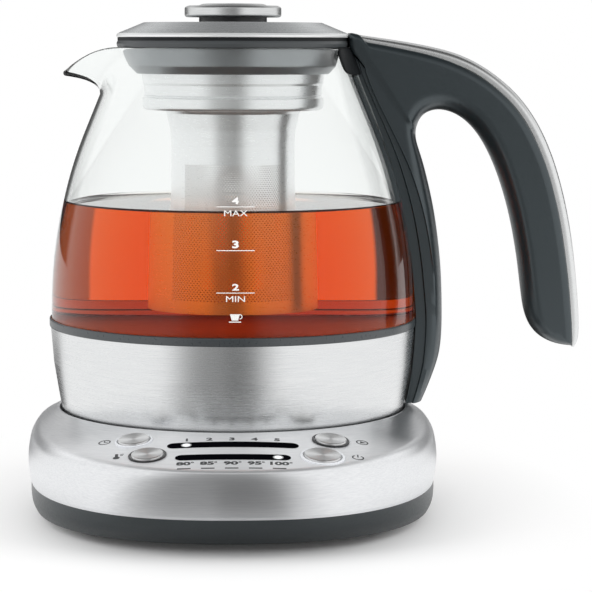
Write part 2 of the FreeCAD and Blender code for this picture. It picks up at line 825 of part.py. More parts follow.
def reach_to_board(spot, above):
    """Distance along a spot's normal, down to the plane at a height above the board's top."""
    plane_point = board_middle.place + board_middle.normal * (value_of(board_top_depth) + above)
    drop = (spot.place - plane_point).dot(board_middle.normal)
    return drop / spot.normal.dot(board_middle.normal)


bezels = {}
switches = []
for label, (x, y, radius) in buttons.items():
    spot = button_spot(label)
    plunger_top = cell.switch_height + cell.plunger_height
    stem_reach = reach_to_board(spot, value_of(plunger_top + cell.button_travel_length + cell.fit_gap))
    flange_top = -(cell.bezel_depth + cell.fit_gap)
    flange_bottom = flange_top - cell.button_flange_thickness
    cap = fuse(
        disc_at(spot, radius, flange_bottom, cell.button_proud_height),
        disc_at(spot, hole_radius(radius), flange_bottom, flange_top),
        disc_at(spot, cell.stem_radius, fixed(-stem_reach), flange_top))
    keep(label, cap)
    bezels[label] = cut(
        disc_at(spot, hole_radius(radius), -cell.bezel_depth, cell.fit_gap),
        disc_at(spot, radius + cell.moving_gap, -cell.bezel_depth - cell.cut_margin_length,
                cell.fit_gap + cell.cut_margin_length))
    foot = PanelPoint(spot.place.x, spot.place.y)
    foot.place = spot.place - spot.normal * reach_to_board(spot, 0.0)
    foot.normal = board_middle.normal
    switches.append(fuse(
        slab_at(foot, cell.switch_side_length / 2.0, cell.switch_side_length / 2.0, zero, cell.switch_height),
        disc_at(foot, cell.plunger_radius, cell.switch_height / 2.0, plunger_top)))
keep("start_light_ring", bezels.pop("start_button"))
keep("button_bezels", gather(bezels.values()))
keep("tact_switches", gather(switches))

for label, (y, half_length) in windows.items():
    spot = window_spot(label)
    keep(label, stadium_at(spot, half_length - cell.fit_gap, cell.window_half_width - cell.fit_gap,
                           -(cell.window_recess_depth + cell.window_thickness), -cell.window_recess_depth))
for label, window, pitch in (("time_leds", "time_window", cell.time_led_pitch),
                             ("temperature_leds", "temperature_window", cell.temperature_led_pitch)):
    lamps = []
    for place in range(-2, 3):
        spot = window_spot(window)
        spot.place = spot.place + FreeCAD.Vector(place * value_of(pitch), 0, 0)
        reach = reach_to_board(spot, 0.0)
        lamps.append(disc_at(spot, cell.led_radius, fixed(-reach),
                             -(cell.window_recess_depth + cell.window_thickness)))
    keep(label, gather(lamps))

# posts that hang the board under the panel, clear of the windows and the buttons
panel_wall = cell.cover_wall * (1.0 + value_of(panel_fall)) / math.hypot(1.0, value_of(panel_fall))
back_post_y = in_front_of_rim(cell.back_post_setback_length)
between_windows_y = (time_window_y + temperature_window_y) / 2.0
board_posts = []
for x, y in ((cell.back_post_x, back_post_y), (cell.front_post_x, between_windows_y)):
    for side in (-1.0, 1.0):
        spot = PanelPoint(value_of(x) * side, value_of(y))
        reach = reach_to_board(spot, 0.0)
        board_posts.append(disc_at(spot, cell.board_post_radius, fixed(-reach) + cell.contact_gap,
                                   -(panel_wall + cell.contact_gap)))
keep("board_posts", gather(board_posts))

# ---------------------------------------------------------------- power parts

power_board_y = cell.rim_radius - cell.power_board_inset_length
power_board_height = floor_top_height + cell.standoff_height
power_top = power_board_height + cell.board_thickness
keep("power_board", block(cell.power_board_length, cell.power_board_width, power_board_height, power_top,
                          zero, power_board_y))
power_posts = [cylinder(cell.standoff_radius, floor_top_height, power_board_height,
                        (cell.power_board_length / 2.0 - cell.standoff_radius) * sx,
                        power_board_y + (cell.power_board_width / 2.0 - cell.standoff_radius) * sy)
               for sx in (-1.0, 1.0) for sy in (-1.0, 1.0)]
keep("power_standoffs", gather(power_posts))
keep("relay", block(cell.relay_length, cell.relay_width, power_top, power_top + cell.relay_height,
                    -(cell.capacitor_radius + cell.relay_gap + cell.relay_length / 2.0),
                    power_board_y))
keep("transformer", block(cell.transformer_length, cell.transformer_width, power_top,
                          power_top + cell.transformer_height,
                          cell.capacitor_radius + cell.transformer_gap + cell.transformer_length / 2.0,
                          power_board_y))
keep("capacitor", cylinder(cell.capacitor_radius, power_top, power_top + cell.capacitor_height,
                           zero, power_board_y + cell.capacitor_shift_length))

# ---------------------------------------------------------------- glass jug


def neck_radius_at(height):
    """Outside radius of the glass neck, a straight cone from the shoulder to the rim."""
    slope = cell.neck_taper_width / cell.neck_height
    return glass_rim_radius - slope * (height - glass_rim_height)


def glass_form(offset, low, high):
    """The jug's outside moved out by an offset and filled to the axis: belly, shoulder arc and neck."""
    return turned([
        (zero, low),
        (glass_belly_radius + offset, low),
        (glass_belly_radius + offset, glass_belly_height, cell.glass_curve_radius + offset, -1),
        (glass_shoulder_radius + offset, glass_shoulder_height),
        (neck_radius_at(high) + offset, high),
        (zero, high),
    ])


spout_steps = 14
# share of the way out, how far the floor has risen, half width and how far the rim has dropped
spout_stations = ((0.0, -0.55, 1.0, 0.0), (0.42, 0.02, 0.74, 0.06), (0.66, 0.55, 0.48, 0.22),
                  (0.85, 0.84, 0.24, 0.50), (0.96, 0.95, 0.08, 0.76), (1.0, 1.0, 0.0, 0.93))
smallest_spout_width = 1.0


def spout_section(x, bottom, half_width, top):
    """Upright channel section at a given X: straight sides above a half-ellipse floor."""
    points = []
    for step in range(spout_steps + 1):
        angle = math.pi * step / spout_steps
        points.append(FreeCAD.Vector(x, half_width * signed_power(math.cos(angle), 0.8),
                                     top - (top - bottom) * signed_power(math.sin(angle), 0.9)))
    floor_curve = Part.BSplineCurve()
    floor_curve.interpolate(points)
    return Part.Wire([floor_curve.toShape(), Part.LineSegment(points[-1], points[0]).toShape()])


def spout_form(wall, rise):
    """Beak from inside the neck to the tip, thinner by wall; rise lifts its open top."""
    reach = value_of(spout_reach)
    root = value_of(glass_rim_radius - cell.spout_root_depth)
    rim = value_of(glass_rim_height)
    throat = rim - value_of(cell.spout_depth)
    tip = rim - value_of(cell.spout_tip_depth)
    lip = value_of(cell.spout_lip_depth)
    half_tip = value_of(cell.spout_tip_half_width)
    half_root = value_of(cell.spout_root_half_width)
    wires = []
    for out, lift, spread, drop in spout_stations:
        x = -(root + (reach - root) * out)
        bottom = throat + (tip - lip - throat) * lift + wall
        half_width = max(half_tip + (half_root - half_tip) * spread - wall, smallest_spout_width)
        top = max(rim + (tip - rim) * drop + rise, bottom + smallest_spout_width)
        wires.append(spout_section(x, bottom, half_width, top))
    return shape_feature("Spout", Part.makeLoft(wires, True, False))


inner_spout = spout_form(value_of(cell.spout_wall), value_of(cell.spout_opening_height))
keep("glass_jug", cut(
    fuse(glass_form(zero, glass_bottom_height, glass_rim_height), spout_form(0.0, 0.0)),
    glass_form(-cell.glass_wall, glass_bottom_height - cell.cut_margin_length,
               glass_rim_height + cell.cut_margin_length * 2.0),
    inner_spout))

# gray ring round the glass, the gasket under it and the heated floor
ledge_inner_radius = glass_belly_radius - cell.glass_wall - cell.ring_ledge_width
ring_bore_radius = glass_belly_radius + cell.trim_gap
ledge_top_height = glass_bottom_height - cell.gasket_thickness
keep("glass_ring", turned([
    (ledge_inner_radius, band_top_height),
    (ring_radius, band_top_height),
    (ring_radius, ring_top_height),
    (ring_bore_radius, ring_top_height),
    (ring_bore_radius, ledge_top_height),
    (ledge_inner_radius, ledge_top_height),
]))
keep("glass_gasket", tube(glass_belly_radius - cell.contact_gap, ledge_inner_radius + cell.fit_gap,
                          ledge_top_height, glass_bottom_height))
plate_radius = band_top_radius - cell.band_wall - cell.fit_gap
raised_radius = ledge_inner_radius - cell.fit_gap
band_turn_radius = band_bottom_radius - cell.band_wall * 4.0
band_fold_height = band_bottom_height + cell.band_wall
keep("heating_plate", turned([
    (zero, band_top_height),
    (raised_radius - cell.plate_thickness, band_top_height),
    (raised_radius - cell.plate_thickness, band_top_height - cell.plate_thickness),
    (plate_radius, band_top_height - cell.plate_thickness),
    (plate_radius, band_top_height),
    (raised_radius, band_top_height),
    (raised_radius, band_top_height + cell.plate_thickness),
    (zero, band_top_height + cell.plate_thickness),
]))
element = document.addObject("Part::Torus", "Element")
bind(element, "Radius1", cell.element_radius)
bind(element, "Radius2", cell.element_tube_radius)
move(element, 0.0, 0.0, band_top_height - cell.element_tube_radius)
keep("heating_element", element)
keep("temperature_sensor", cylinder(cell.sensor_radius, band_top_height - cell.sensor_height,
                                    band_top_height))
keep("jug_band", turned([
    (band_bottom_radius - cell.band_wall, band_fold_height),
    (band_turn_radius, band_fold_height),
    (band_turn_radius, band_bottom_height),
    (band_bottom_radius, band_bottom_height, cell.band_curve_radius, -1),
    (band_top_radius, band_top_height),
    (band_top_radius - cell.band_wall, band_top_height,
     cell.band_curve_radius - cell.band_wall, 1),
]))
underside_radius = band_turn_radius - cell.fit_gap
underside_low = seat_height + cell.jug_foot_height
underside_top = band_fold_height + cell.underside_thickness
keep("jug_underside", turned([
    (cell.socket_radius + cell.fit_gap, underside_low),
    (jug_foot_radius - cell.jug_foot_width / 2.0, underside_low),
    (jug_foot_radius - cell.jug_foot_width / 2.0, seat_height),
    (jug_foot_radius + cell.jug_foot_width / 2.0, seat_height),
    (jug_foot_radius + cell.jug_foot_width / 2.0, underside_low),
    (underside_radius, underside_low),
    (underside_radius, band_fold_height),
    (underside_radius + cell.band_wall * 2.0, band_fold_height),
    (underside_radius + cell.band_wall * 2.0, underside_top),
    (cell.socket_radius + cell.fit_gap, underside_top),
]))
socket_bore = cell.post_radius + cell.moving_gap
socket_roof_height = post_top_height + cell.socket_clearance_height
socket_flange_radius = cell.socket_radius + cell.socket_flange_width
keep("jug_connector", turned([
    (socket_bore, underside_low),
    (cell.socket_radius, underside_low),
    (cell.socket_radius, underside_top),
    (socket_flange_radius, underside_top),
    (socket_flange_radius, underside_top + cell.socket_wall),
    (cell.socket_radius, underside_top + cell.socket_wall),
    (cell.socket_radius, socket_top_height),
    (zero, socket_top_height),
    (zero, socket_roof_height),
    (socket_bore, socket_roof_height),
]))
# the sensor's carrier stands on the connector and presses the sensor to the heated floor
keep("sensor_carrier", cylinder(cell.carrier_radius, socket_top_height,
                                band_top_height - cell.sensor_height))

# ---------------------------------------------------------------- handle


def jug_radius_at(height):
    """Outside radius of the glass at a height, and of its belly for anything lower."""
    belly = FreeCAD.Vector(value_of(glass_belly_radius), value_of(glass_belly_height), 0)
    shoulder_end = FreeCAD.Vector(value_of(glass_shoulder_radius), value_of(glass_shoulder_height), 0)
    if height >= shoulder_end.y:
        return value_of(neck_radius_at(fixed(height)))
    if height >= belly.y:
        curve_radius = value_of(cell.glass_curve_radius)
        centre = arc_through(belly, shoulder_end, curve_radius, -1).toShape().Curve.Center
        return centre.x + math.sqrt(curve_radius ** 2 - (height - centre.y) ** 2)
    return belly.x


bracket_foot_radius = band_bottom_radius + cell.bracket_foot_width


def strip_profile(inner, outer, low, high):
    """Strip that follows the jug's side from the band's foot to the neck."""
    return [
        (bracket_foot_radius + inner, low),
        (bracket_foot_radius + outer, low, cell.band_curve_radius + outer, -1),
        (ring_radius + outer, ring_top_height, cell.glass_curve_radius + outer, -1),
        (glass_shoulder_radius + outer, glass_shoulder_height),
        (neck_radius_at(high) + outer, high),
        (neck_radius_at(high) + inner, high),
        (glass_shoulder_radius + inner, glass_shoulder_height, cell.glass_curve_radius + inner, 1),
        (ring_radius + inner, ring_top_height, cell.band_curve_radius + inner, 1),
    ]


envelope_angle = 90.0


def angle_for(half_width):
    """Angle that a strip of a half width spans on the jug's ring."""
    return 2.0 * math.degrees(math.asin(value_of(half_width) / value_of(ring_radius)))


bracket_outer = cell.bracket_gap + cell.bracket_thickness
keep("handle_bracket", turned(
    strip_profile(cell.bracket_gap, bracket_outer, handle_bottom_height, bracket_top_height),
    angle_for(cell.bracket_half_width)))
# room for the jug and the bracket, cut from the handle: from inside the glass wall to past the bracket
envelope_depth = cell.bracket_thickness * 3.0
envelope = turned(strip_profile(
    -envelope_depth, bracket_outer + cell.fit_gap, handle_bottom_height - cell.bracket_thickness,
    handle_top_height - cell.contact_gap), envelope_angle)

pad_low = bracket_top_height + cell.fit_gap
pad_outer = cell.bracket_gap + cell.neck_pad_thickness
keep("neck_pad", turned([
    (neck_radius_at(pad_low) + cell.bracket_gap, pad_low),
    (neck_radius_at(pad_low) + pad_outer, pad_low),
    (neck_radius_at(neck_pad_top_height) + pad_outer, neck_pad_top_height),
    (neck_radius_at(neck_pad_top_height) + cell.bracket_gap, neck_pad_top_height),
], cell.neck_pad_angle))


section_steps = 20
soft_corner = 0.62  # exponents of a section's rounding: 1 is an ellipse, and less is squarer
trim_corner = 0.45
trim_room_corner = 0.3


def handle_section(outer, inner, half_width, exponent=soft_corner):
    """Rounded section between an outer and an inner point of the side view."""
    centre = (outer + inner) * 0.5
    across = (outer - inner) * 0.5
    points = []
    for step in range(section_steps):
        angle = 2.0 * math.pi * (step + 0.5) / section_steps
        points.append(centre + across * signed_power(math.cos(angle), exponent)
                      + FreeCAD.Vector(0, half_width, 0) * signed_power(math.sin(angle), exponent))
    return closed_curve(points)


def side_point(reach_share, drop_share):
    """Point of the side view, as shares of the grip's reach and drop from its root."""
    root = value_of(handle_root_radius)
    top = value_of(handle_top_height)
    return FreeCAD.Vector(root + (value_of(handle_reach) - root) * reach_share, 0,
                          top - (top - value_of(grip_bottom_height)) * drop_share)


# outer and inner points of the grip, from the block at the lid to the free tip
grip_stations = (
    ((-0.02, 0.0), (0.02, 0.17)), ((0.16, 0.012), (0.12, 0.27)), ((0.30, 0.030), (0.24, 0.285)),
    ((0.44, 0.062), (0.37, 0.243)), ((0.575, 0.106), (0.46, 0.258)), ((0.70, 0.178), (0.535, 0.305)),
    ((0.81, 0.303), (0.60, 0.385)), ((0.885, 0.425), (0.648, 0.475)), ((0.938, 0.575), (0.689, 0.582)),
    ((0.970, 0.716), (0.724, 0.716)), ((0.991, 0.855), (0.748, 0.862)), ((1.0, 0.925), (0.785, 0.935)),
    ((0.997, 0.97), (0.86, 0.984)), ((0.987, 1.0), (0.93, 1.0)),
)
tip_stations = 2  # the last stations, where the trim thins with the grip
tip_width_share = 0.8
trim_tip_share = 0.4
grip_wires = []
trim_wires = []
trim_cut_wires = []
for number, (outer_share, inner_share) in enumerate(grip_stations):
    outer = side_point(*outer_share)
    inner = side_point(*inner_share)
    width_share = 1.0 if number < len(grip_stations) - 1 else tip_width_share
    grip_wires.append(handle_section(outer, inner, value_of(cell.handle_half_width) * width_share))
    if number == 0:
        continue
    way_in = (inner - outer).normalize()
    depth = value_of(cell.trim_depth)
    if number >= len(grip_stations) - tip_stations:
        depth = min(depth, (inner - outer).Length * trim_tip_share)
    half_width = value_of(cell.trim_half_width) * width_share
    gap = value_of(cell.trim_gap)
    trim_wires.append(handle_section(outer - way_in * value_of(cell.trim_proud_height),
                                     outer + way_in * depth, half_width, trim_corner))
    trim_cut_wires.append(handle_section(outer - way_in * value_of(cell.trim_depth),
                                         outer + way_in * (depth + gap), half_width + gap, trim_room_corner))
grip = shape_feature("Grip", Part.makeLoft(grip_wires, True, False))
trim_room = shape_feature("TrimRoom", Part.makeLoft(trim_cut_wires, True, False))

# leg against the jug: share of its height, and how far its outside draws in, as a share of its depth
leg_stations = ((0.0, 0.715), (0.05, 0.455), (0.17, 0.057), (0.28, 0.0), (0.46, 0.081),
                (0.64, 0.350), (0.78, 0.699), (0.86, 0.911), (0.92, 0.976), (0.97, 0.732))
leg_foot_share = 0.1
leg_top_drop = 0.12
leg_width_share = 0.92
leg_wires = []
leg_low = value_of(handle_bottom_height)
leg_high = side_point(0.0, leg_top_drop).z
for share, drawn_in in leg_stations:
    height = leg_low + (leg_high - leg_low) * share
    out_x = value_of(leg_outer_radius - cell.leg_depth * drawn_in)
    side_x = value_of(bracket_foot_radius) if share < leg_foot_share else jug_radius_at(height)
    in_x = side_x - value_of(cell.glass_wall)
    leg_wires.append(handle_section(FreeCAD.Vector(out_x, 0, height), FreeCAD.Vector(in_x, 0, height),
                                    value_of(cell.handle_half_width) * leg_width_share))
leg = shape_feature("Leg", Part.makeLoft(leg_wires, True, False))
lid_clearance = cylinder(handle_root_radius, glass_shoulder_height, handle_top_height + cell.trim_depth)
keep("handle_body", cut(fuse(grip, leg), envelope, trim_room, lid_clearance))
keep("handle_trim", shape_feature("TrimLoft", Part.makeLoft(trim_wires, True, False)))

# ---------------------------------------------------------------- infuser basket

keep("basket_seal", turned([
    (seal_bore_radius, collar_top_height),
    (seal_radius, collar_top_height),
    (seal_radius, seal_top_height),
    (seal_bore_radius, seal_top_height),
]))
keep("basket_collar", turned([
    (collar_bore_radius, collar_bottom_height),
    (collar_bottom_radius, collar_bottom_height),
    (collar_bottom_radius + cell.collar_edge_width, collar_bottom_height + cell.collar_edge_height),
    (collar_top_radius - cell.collar_lip_width, collar_bottom_height + cell.collar_side_height),
    (collar_top_radius, collar_top_height),
    (collar_rebate_radius, collar_top_height),
    (collar_rebate_radius, collar_ledge_height),
    (collar_bore_radius, collar_ledge_height),
]))
cup_inner = cup_radius - cell.cup_wall
cup_flange_radius = collar_rebate_radius - cell.fit_gap
keep("basket_cup", turned([
    (cup_inner, collar_ledge_height + cell.cup_wall),
    (cup_inner, cup_bottom_height + cell.cup_wall * 2.0),
    (cup_inner - cell.cup_wall, cup_bottom_height + cell.cup_wall),
    (basket_neck_top_radius - cell.cup_wall, cup_bottom_height + cell.cup_wall),
    (basket_neck_bottom_radius - cell.cup_wall, basket_neck_bottom_height),
    (basket_neck_bottom_radius - cell.cup_wall, strainer_top_height),
    (basket_neck_bottom_radius, strainer_top_height),
    (basket_neck_bottom_radius, basket_neck_bottom_height),
    (basket_neck_top_radius, cup_bottom_height),
    (cup_lip_radius - cell.cup_corner_width, cup_bottom_height),
    (cup_radius, cup_bottom_height + cell.cup_corner_height),
    (cup_lip_radius, cup_lip_height),
    (cup_radius, cup_lip_height + cell.cup_lip_width),
    (cup_radius, collar_ledge_height),
    (cup_flange_radius, collar_ledge_height),
    (cup_flange_radius, collar_ledge_height + cell.cup_wall),
]))
keep("strainer", turned([
    (basket_neck_bottom_radius - cell.strainer_wall, strainer_top_height),
    (strainer_bottom_radius - cell.strainer_wall, strainer_bottom_height),
    (strainer_bottom_radius, strainer_bottom_height),
    (basket_neck_bottom_radius, strainer_top_height),
]))
keep("strainer_floor", cylinder(strainer_bottom_radius,
                                strainer_bottom_height - cell.strainer_floor_thickness,
                                strainer_bottom_height))

# ---------------------------------------------------------------- lid

lid_inner_top = lid_shoulder_height - cell.lid_wall
lid_rest_height = seal_top_height + cell.lid_rest_gap
keep("lid_cover", turned([
    (cell.lid_bore_radius, lid_top_height - cell.lid_wall),
    (lid_flat_radius - cell.lid_wall, lid_top_height - cell.lid_wall),
    (lid_radius - cell.lid_wall, lid_inner_top),
    (lid_radius - cell.lid_wall, lid_edge_height),
    (lid_radius, lid_edge_height),
    (lid_radius, lid_shoulder_height),
    (lid_flat_radius, lid_top_height),
    (cell.lid_bore_radius, lid_top_height),
]))
lid_base_radius = lid_radius - cell.lid_wall - cell.fit_gap
keep("lid_inner", turned([
    (cell.lid_bore_radius, lid_plug_bottom_height),
    (lid_plug_radius, lid_plug_bottom_height),
    (lid_plug_radius, lid_rest_height),
    (lid_base_radius, lid_rest_height),
    (lid_base_radius, lid_inner_top),
    (lid_flat_radius - cell.lid_wall, lid_top_height - cell.lid_wall),
    (cell.lid_bore_radius, lid_top_height - cell.lid_wall),
]))
knob_bottom_height = lid_top_height + cell.knob_neck_height
keep("knob_neck", turned([
    (cell.screw_radius + cell.fit_gap, lid_top_height),
    (cell.knob_neck_radius, lid_top_height),
    (cell.knob_neck_radius, knob_bottom_height),
    (cell.screw_radius + cell.fit_gap, knob_bottom_height),
]))
knob_edge_top = knob_bottom_height + cell.knob_edge_height
knob_crown_share = 0.75
keep("knob_cap", turned([
    (zero, knob_bottom_height + cell.knob_screw_depth),
    (cell.screw_radius, knob_bottom_height + cell.knob_screw_depth),
    (cell.screw_radius, knob_bottom_height),
    (cell.knob_radius - cell.knob_edge_chamfer_width, knob_bottom_height),
    (cell.knob_radius, knob_bottom_height + cell.knob_edge_chamfer_width),
    (cell.knob_radius, knob_edge_top - cell.knob_edge_chamfer_width),
    (cell.knob_radius - cell.knob_edge_chamfer_width, knob_edge_top),
    (cell.knob_radius - cell.knob_crown_width, knob_edge_top + cell.knob_dome_height * knob_crown_share),
    (zero, knob_edge_top + cell.knob_dome_height),
]))
keep("knob_screw", fuse(
    cylinder(cell.knob_screw_head_radius, lid_plug_bottom_height - cell.screw_head_height,
             lid_plug_bottom_height),
    cylinder(cell.screw_radius - cell.contact_gap, lid_plug_bottom_height - cell.screw_head_height / 2.0,
             knob_bottom_height + cell.knob_screw_depth - cell.fit_gap)))

# ---------------------------------------------------------------- checks and files

document.recompute()
for feature in document.Objects:
    for state in ("Invalid", "Error"):
        if state in feature.State:
            raise RuntimeError("{} ({}) is {}".format(feature.Label, feature.Name, feature.State))
for label, feature in nodes.items():
    if feature.Shape.isNull() or not feature.Shape.isValid():
        raise RuntimeError(label + " has no valid shape")

os.makedirs("parts", exist_ok=True)
for label, feature in nodes.items():
    feature.Shape.exportStep("parts/{}.step".format(label))
    print(label, len(feature.Shape.Solids), round(feature.Shape.Volume))
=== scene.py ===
import bpy
import json
import math
import numpy as np
from mathutils import Euler, Matrix, Vector


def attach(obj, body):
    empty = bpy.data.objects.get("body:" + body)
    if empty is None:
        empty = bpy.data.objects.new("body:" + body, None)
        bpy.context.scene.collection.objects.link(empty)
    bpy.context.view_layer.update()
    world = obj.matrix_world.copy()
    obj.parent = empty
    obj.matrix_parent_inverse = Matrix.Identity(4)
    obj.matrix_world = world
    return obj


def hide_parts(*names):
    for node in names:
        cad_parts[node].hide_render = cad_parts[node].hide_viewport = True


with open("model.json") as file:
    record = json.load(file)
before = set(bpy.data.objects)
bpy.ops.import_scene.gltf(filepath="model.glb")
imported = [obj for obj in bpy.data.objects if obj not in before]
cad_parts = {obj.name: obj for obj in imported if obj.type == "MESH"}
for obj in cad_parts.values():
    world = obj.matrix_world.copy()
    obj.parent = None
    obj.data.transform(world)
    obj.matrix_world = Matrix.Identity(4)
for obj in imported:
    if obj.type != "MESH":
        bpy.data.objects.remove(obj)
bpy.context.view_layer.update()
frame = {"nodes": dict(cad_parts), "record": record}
nodes = frame["nodes"]
mm = 0.001
sharpAngle = math.radians(38)      # an edge that turns more than this stays crisp
print("frame loaded:", len(nodes), "nodes")

# Surfaces. Every new piece is a grid of points in millimetres, worked out as whole arrays.


def gridFaces(rows, columns, closeRows, closeColumns):
    # quads between neighbouring points of a grid that is numbered row by row
    row, column = np.meshgrid(np.arange(rows if closeRows else rows - 1),
                              np.arange(columns if closeColumns else columns - 1), indexing="ij")
    nextRow, nextColumn = (row + 1) % rows, (column + 1) % columns
    corners = [row * columns + column, row * columns + nextColumn,
               nextRow * columns + nextColumn, nextRow * columns + column]
    return np.stack(corners, -1).reshape(-1, 4)


def meshPiece(name, points, faces, body, material):
    # points are millimetres; faces is an array of quads, or a list of quads and triangles
    mesh = bpy.data.meshes.new(name)
    faceList = faces if isinstance(faces, list) else faces.tolist()
    mesh.from_pydata((np.asarray(points) * mm).tolist(), [], faceList)
    mesh.polygons.foreach_set("use_smooth", np.ones(len(mesh.polygons), bool))
    mesh.update()
    mesh.set_sharp_from_angle(angle=sharpAngle)
    piece = bpy.data.objects.new(name, mesh)
    bpy.context.scene.collection.objects.link(piece)
    mesh.materials.append(material)
    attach(piece, body)
    return piece


def gridPiece(name, grid, body, material, slot, closeRows=False, closeColumns=True, poles=()):
    # a grid of points (rows, columns, 3); "first" or "last" in poles closes that row to its middle
    rows, columns = grid.shape[:2]
    points = grid.reshape(-1, 3)
    faces = gridFaces(rows, columns, closeRows, closeColumns).tolist()
    step = np.arange(columns)
    for pole, row in (("first", 0), ("last", rows - 1)):
        if pole in poles:
            centre = len(points)
            points = np.vstack([points, grid[row].mean(0)])
            here, there = row * columns + step, row * columns + (step + 1) % columns
            ring = (there, here) if pole == "first" else (here, there)
            faces += np.stack([*ring, np.full(columns, centre)], -1).tolist()
    return meshPiece(name, points, faces, body, material)


def roundedProfile(corners, closed=True, steps=5, support=0.12):
    # corners are (radius, height, rounding). Each becomes an arc that touches both of its sides, with
    # one more point beside each end so that the shading of the straight stretch stays flat
    table = np.array(corners, float)
    place, rounding = table[:, :2], np.maximum(table[:, 2], 1e-4)
    before = np.roll(place, 1, 0) - place
    after = np.roll(place, -1, 0) - place
    before /= np.linalg.norm(before, axis=1)[:, None]
    after /= np.linalg.norm(after, axis=1)[:, None]
    opening = np.arccos(np.clip((before * after).sum(1), -0.99999, 0.99999))
    reach = rounding / np.tan(opening / 2)
    middle = before + after
    middle /= np.maximum(np.linalg.norm(middle, axis=1), 1e-9)[:, None]
    centre = place + middle * (rounding / np.sin(opening / 2))[:, None]
    start = place + before * reach[:, None] - centre
    end = place + after * reach[:, None] - centre
    turn = np.pi - opening
    share = np.linspace(0, 1, steps + 1)[None, :, None]
    arc = (np.sin((1 - share) * turn[:, None, None]) * start[:, None]
           + np.sin(share * turn[:, None, None]) * end[:, None]) / np.sin(turn)[:, None, None]
    arc = centre[:, None] + arc
    lead = place + before * (reach + support)[:, None]
    trail = place + after * (reach + support)[:, None]
    profile = np.concatenate([lead[:, None], arc, trail[:, None]], 1)
    if closed:
        return profile.reshape(-1, 2)
    inner = profile[1:-1].reshape(-1, 2)
    return np.vstack([place[:1], inner, place[-1:]])


def fullTurn(segments):
    # bearings spread evenly round the axis
    return np.arange(segments) * 2 * np.pi / segments


def polar(radius, angle, height):
    # points from distance, bearing and height: x = r cos a, y = r sin a
    x, y = radius * np.cos(angle), radius * np.sin(angle)
    return np.stack([x, y, np.broadcast_to(height, x.shape)], -1)


def turned(profile, segments=160, angles=None):
    # the profile's (radius, height) carried round the vertical axis
    return polar(profile[:, :1], fullTurn(segments) if angles is None else angles, profile[:, 1:])


def turnedPiece(name, corners, body, material, slot, segments=160, closed=False, flip=True, poles=()):
    # a section with rounded corners carried round the axis; flip is for corners that run clockwise
    profile = roundedProfile(corners, closed)
    if flip:
        profile = profile[::-1]
    return gridPiece(name, turned(profile, segments), body, material, slot, closeRows=closed, poles=poles)


def bent(t, start, middle, end):
    # the curve that leaves start towards middle and comes from there to end, at the shares t of its way
    return (1 - t) ** 2 * start + 2 * t * (1 - t) * middle + t ** 2 * end


def cubic(t, length, start, startSlope, end, endSlope):
    # the cubic from start to end that has these slopes there, at the shares t of its length
    return ((2 * t ** 3 - 3 * t ** 2 + 1) * start + (t ** 3 - 2 * t ** 2 + t) * length * startSlope
            + (3 * t ** 2 - 2 * t ** 3) * end + (t ** 3 - t ** 2) * length * endSlope)


# Materials


def feed(tree, socket, value):
    # a socket gets a plain value, or a link from another node's output
    if isinstance(value, bpy.types.NodeSocket):
        tree.links.new(value, socket)
    else:
        socket.default_value = value


def fill(tree, node, settings):
    # each setting goes to the socket of that name, or else to the node itself
    for key, value in settings.items():
        socket = node.inputs.get(key.replace("_", " "))
        if socket is None:
            setattr(node, key, value)
        else:
            feed(tree, socket, value)


def addNode(tree, kind, *inputs, **settings):
    # inputs fill the node's sockets in their order
    node = tree.nodes.new("ShaderNode" + kind)
    fill(tree, node, settings)
    for socket, value in zip(node.inputs, inputs):
        feed(tree, socket, value)
    return node


def newMaterial(name, color, roughness, metallic=0.0, **sockets):
    # a surface shader; sockets are named with _ for a space
    material = bpy.data.materials.new(name)
    material.use_nodes = True
    tree = material.node_tree
    shader = tree.nodes["Principled BSDF"]
    fill(tree, shader, {"Base_Color": (*color, 1), "Roughness": roughness, "Metallic": metallic, **sockets})
    return material, tree, shader


def mathNode(tree, operation, first, second):
    # one operation on two numbers or outputs
    return addNode(tree, "Math", first, second, operation=operation).outputs[0]


def product(tree, first, *others):
    # first * second * third and so on
    for other in others:
        first = mathNode(tree, "MULTIPLY", first, other)
    return first


def vectorMath(tree, operation, *vectors):
    # gives a number for a length, a distance and a dot product, or else a vector
    node = addNode(tree, "VectorMath", *vectors, operation=operation)
    return node.outputs["Value" if operation in ("LENGTH", "DISTANCE", "DOT_PRODUCT") else "Vector"]


def ramp(tree, value, low, high, first, last, curve="LINEAR"):
    # a value from low to high becomes a number from first to last
    node = addNode(tree, "MapRange", value, low, high, first, last, interpolation_type=curve)
    return node.outputs["Result"]


def mixColor(tree, factor, first, last):
    # first at factor 0, last at 1
    node = addNode(tree, "Mix", factor, data_type="RGBA", A=(*first, 1), B=(*last, 1))
    return node.outputs["Result"]


def mixShader(tree, factor, first, last):
    # first at factor 0, last at 1
    return addNode(tree, "MixShader", factor, first, last).outputs[0]


def objectPlace(tree):
    # the point on the piece, in metres
    return addNode(tree, "TexCoord").outputs["Object"]


def stretched(tree, point, scale):
    # the point times a scale along each axis
    return addNode(tree, "Mapping", point, Scale=scale).outputs["Vector"]


def noise(tree, vector, scale, detail, roughness=0.55):
    # an uneven number from 0 to 1
    return addNode(tree, "TexNoise", vector, Scale=scale, Detail=detail, Roughness=roughness).outputs["Fac"]


def bump(tree, shader, height, strength, distance):
    # tilts the shading as if the surface rose by height * distance
    node = addNode(tree, "Bump", Strength=strength, Distance=distance, Height=height)
    feed(tree, shader.inputs["Normal"], node.outputs["Normal"])


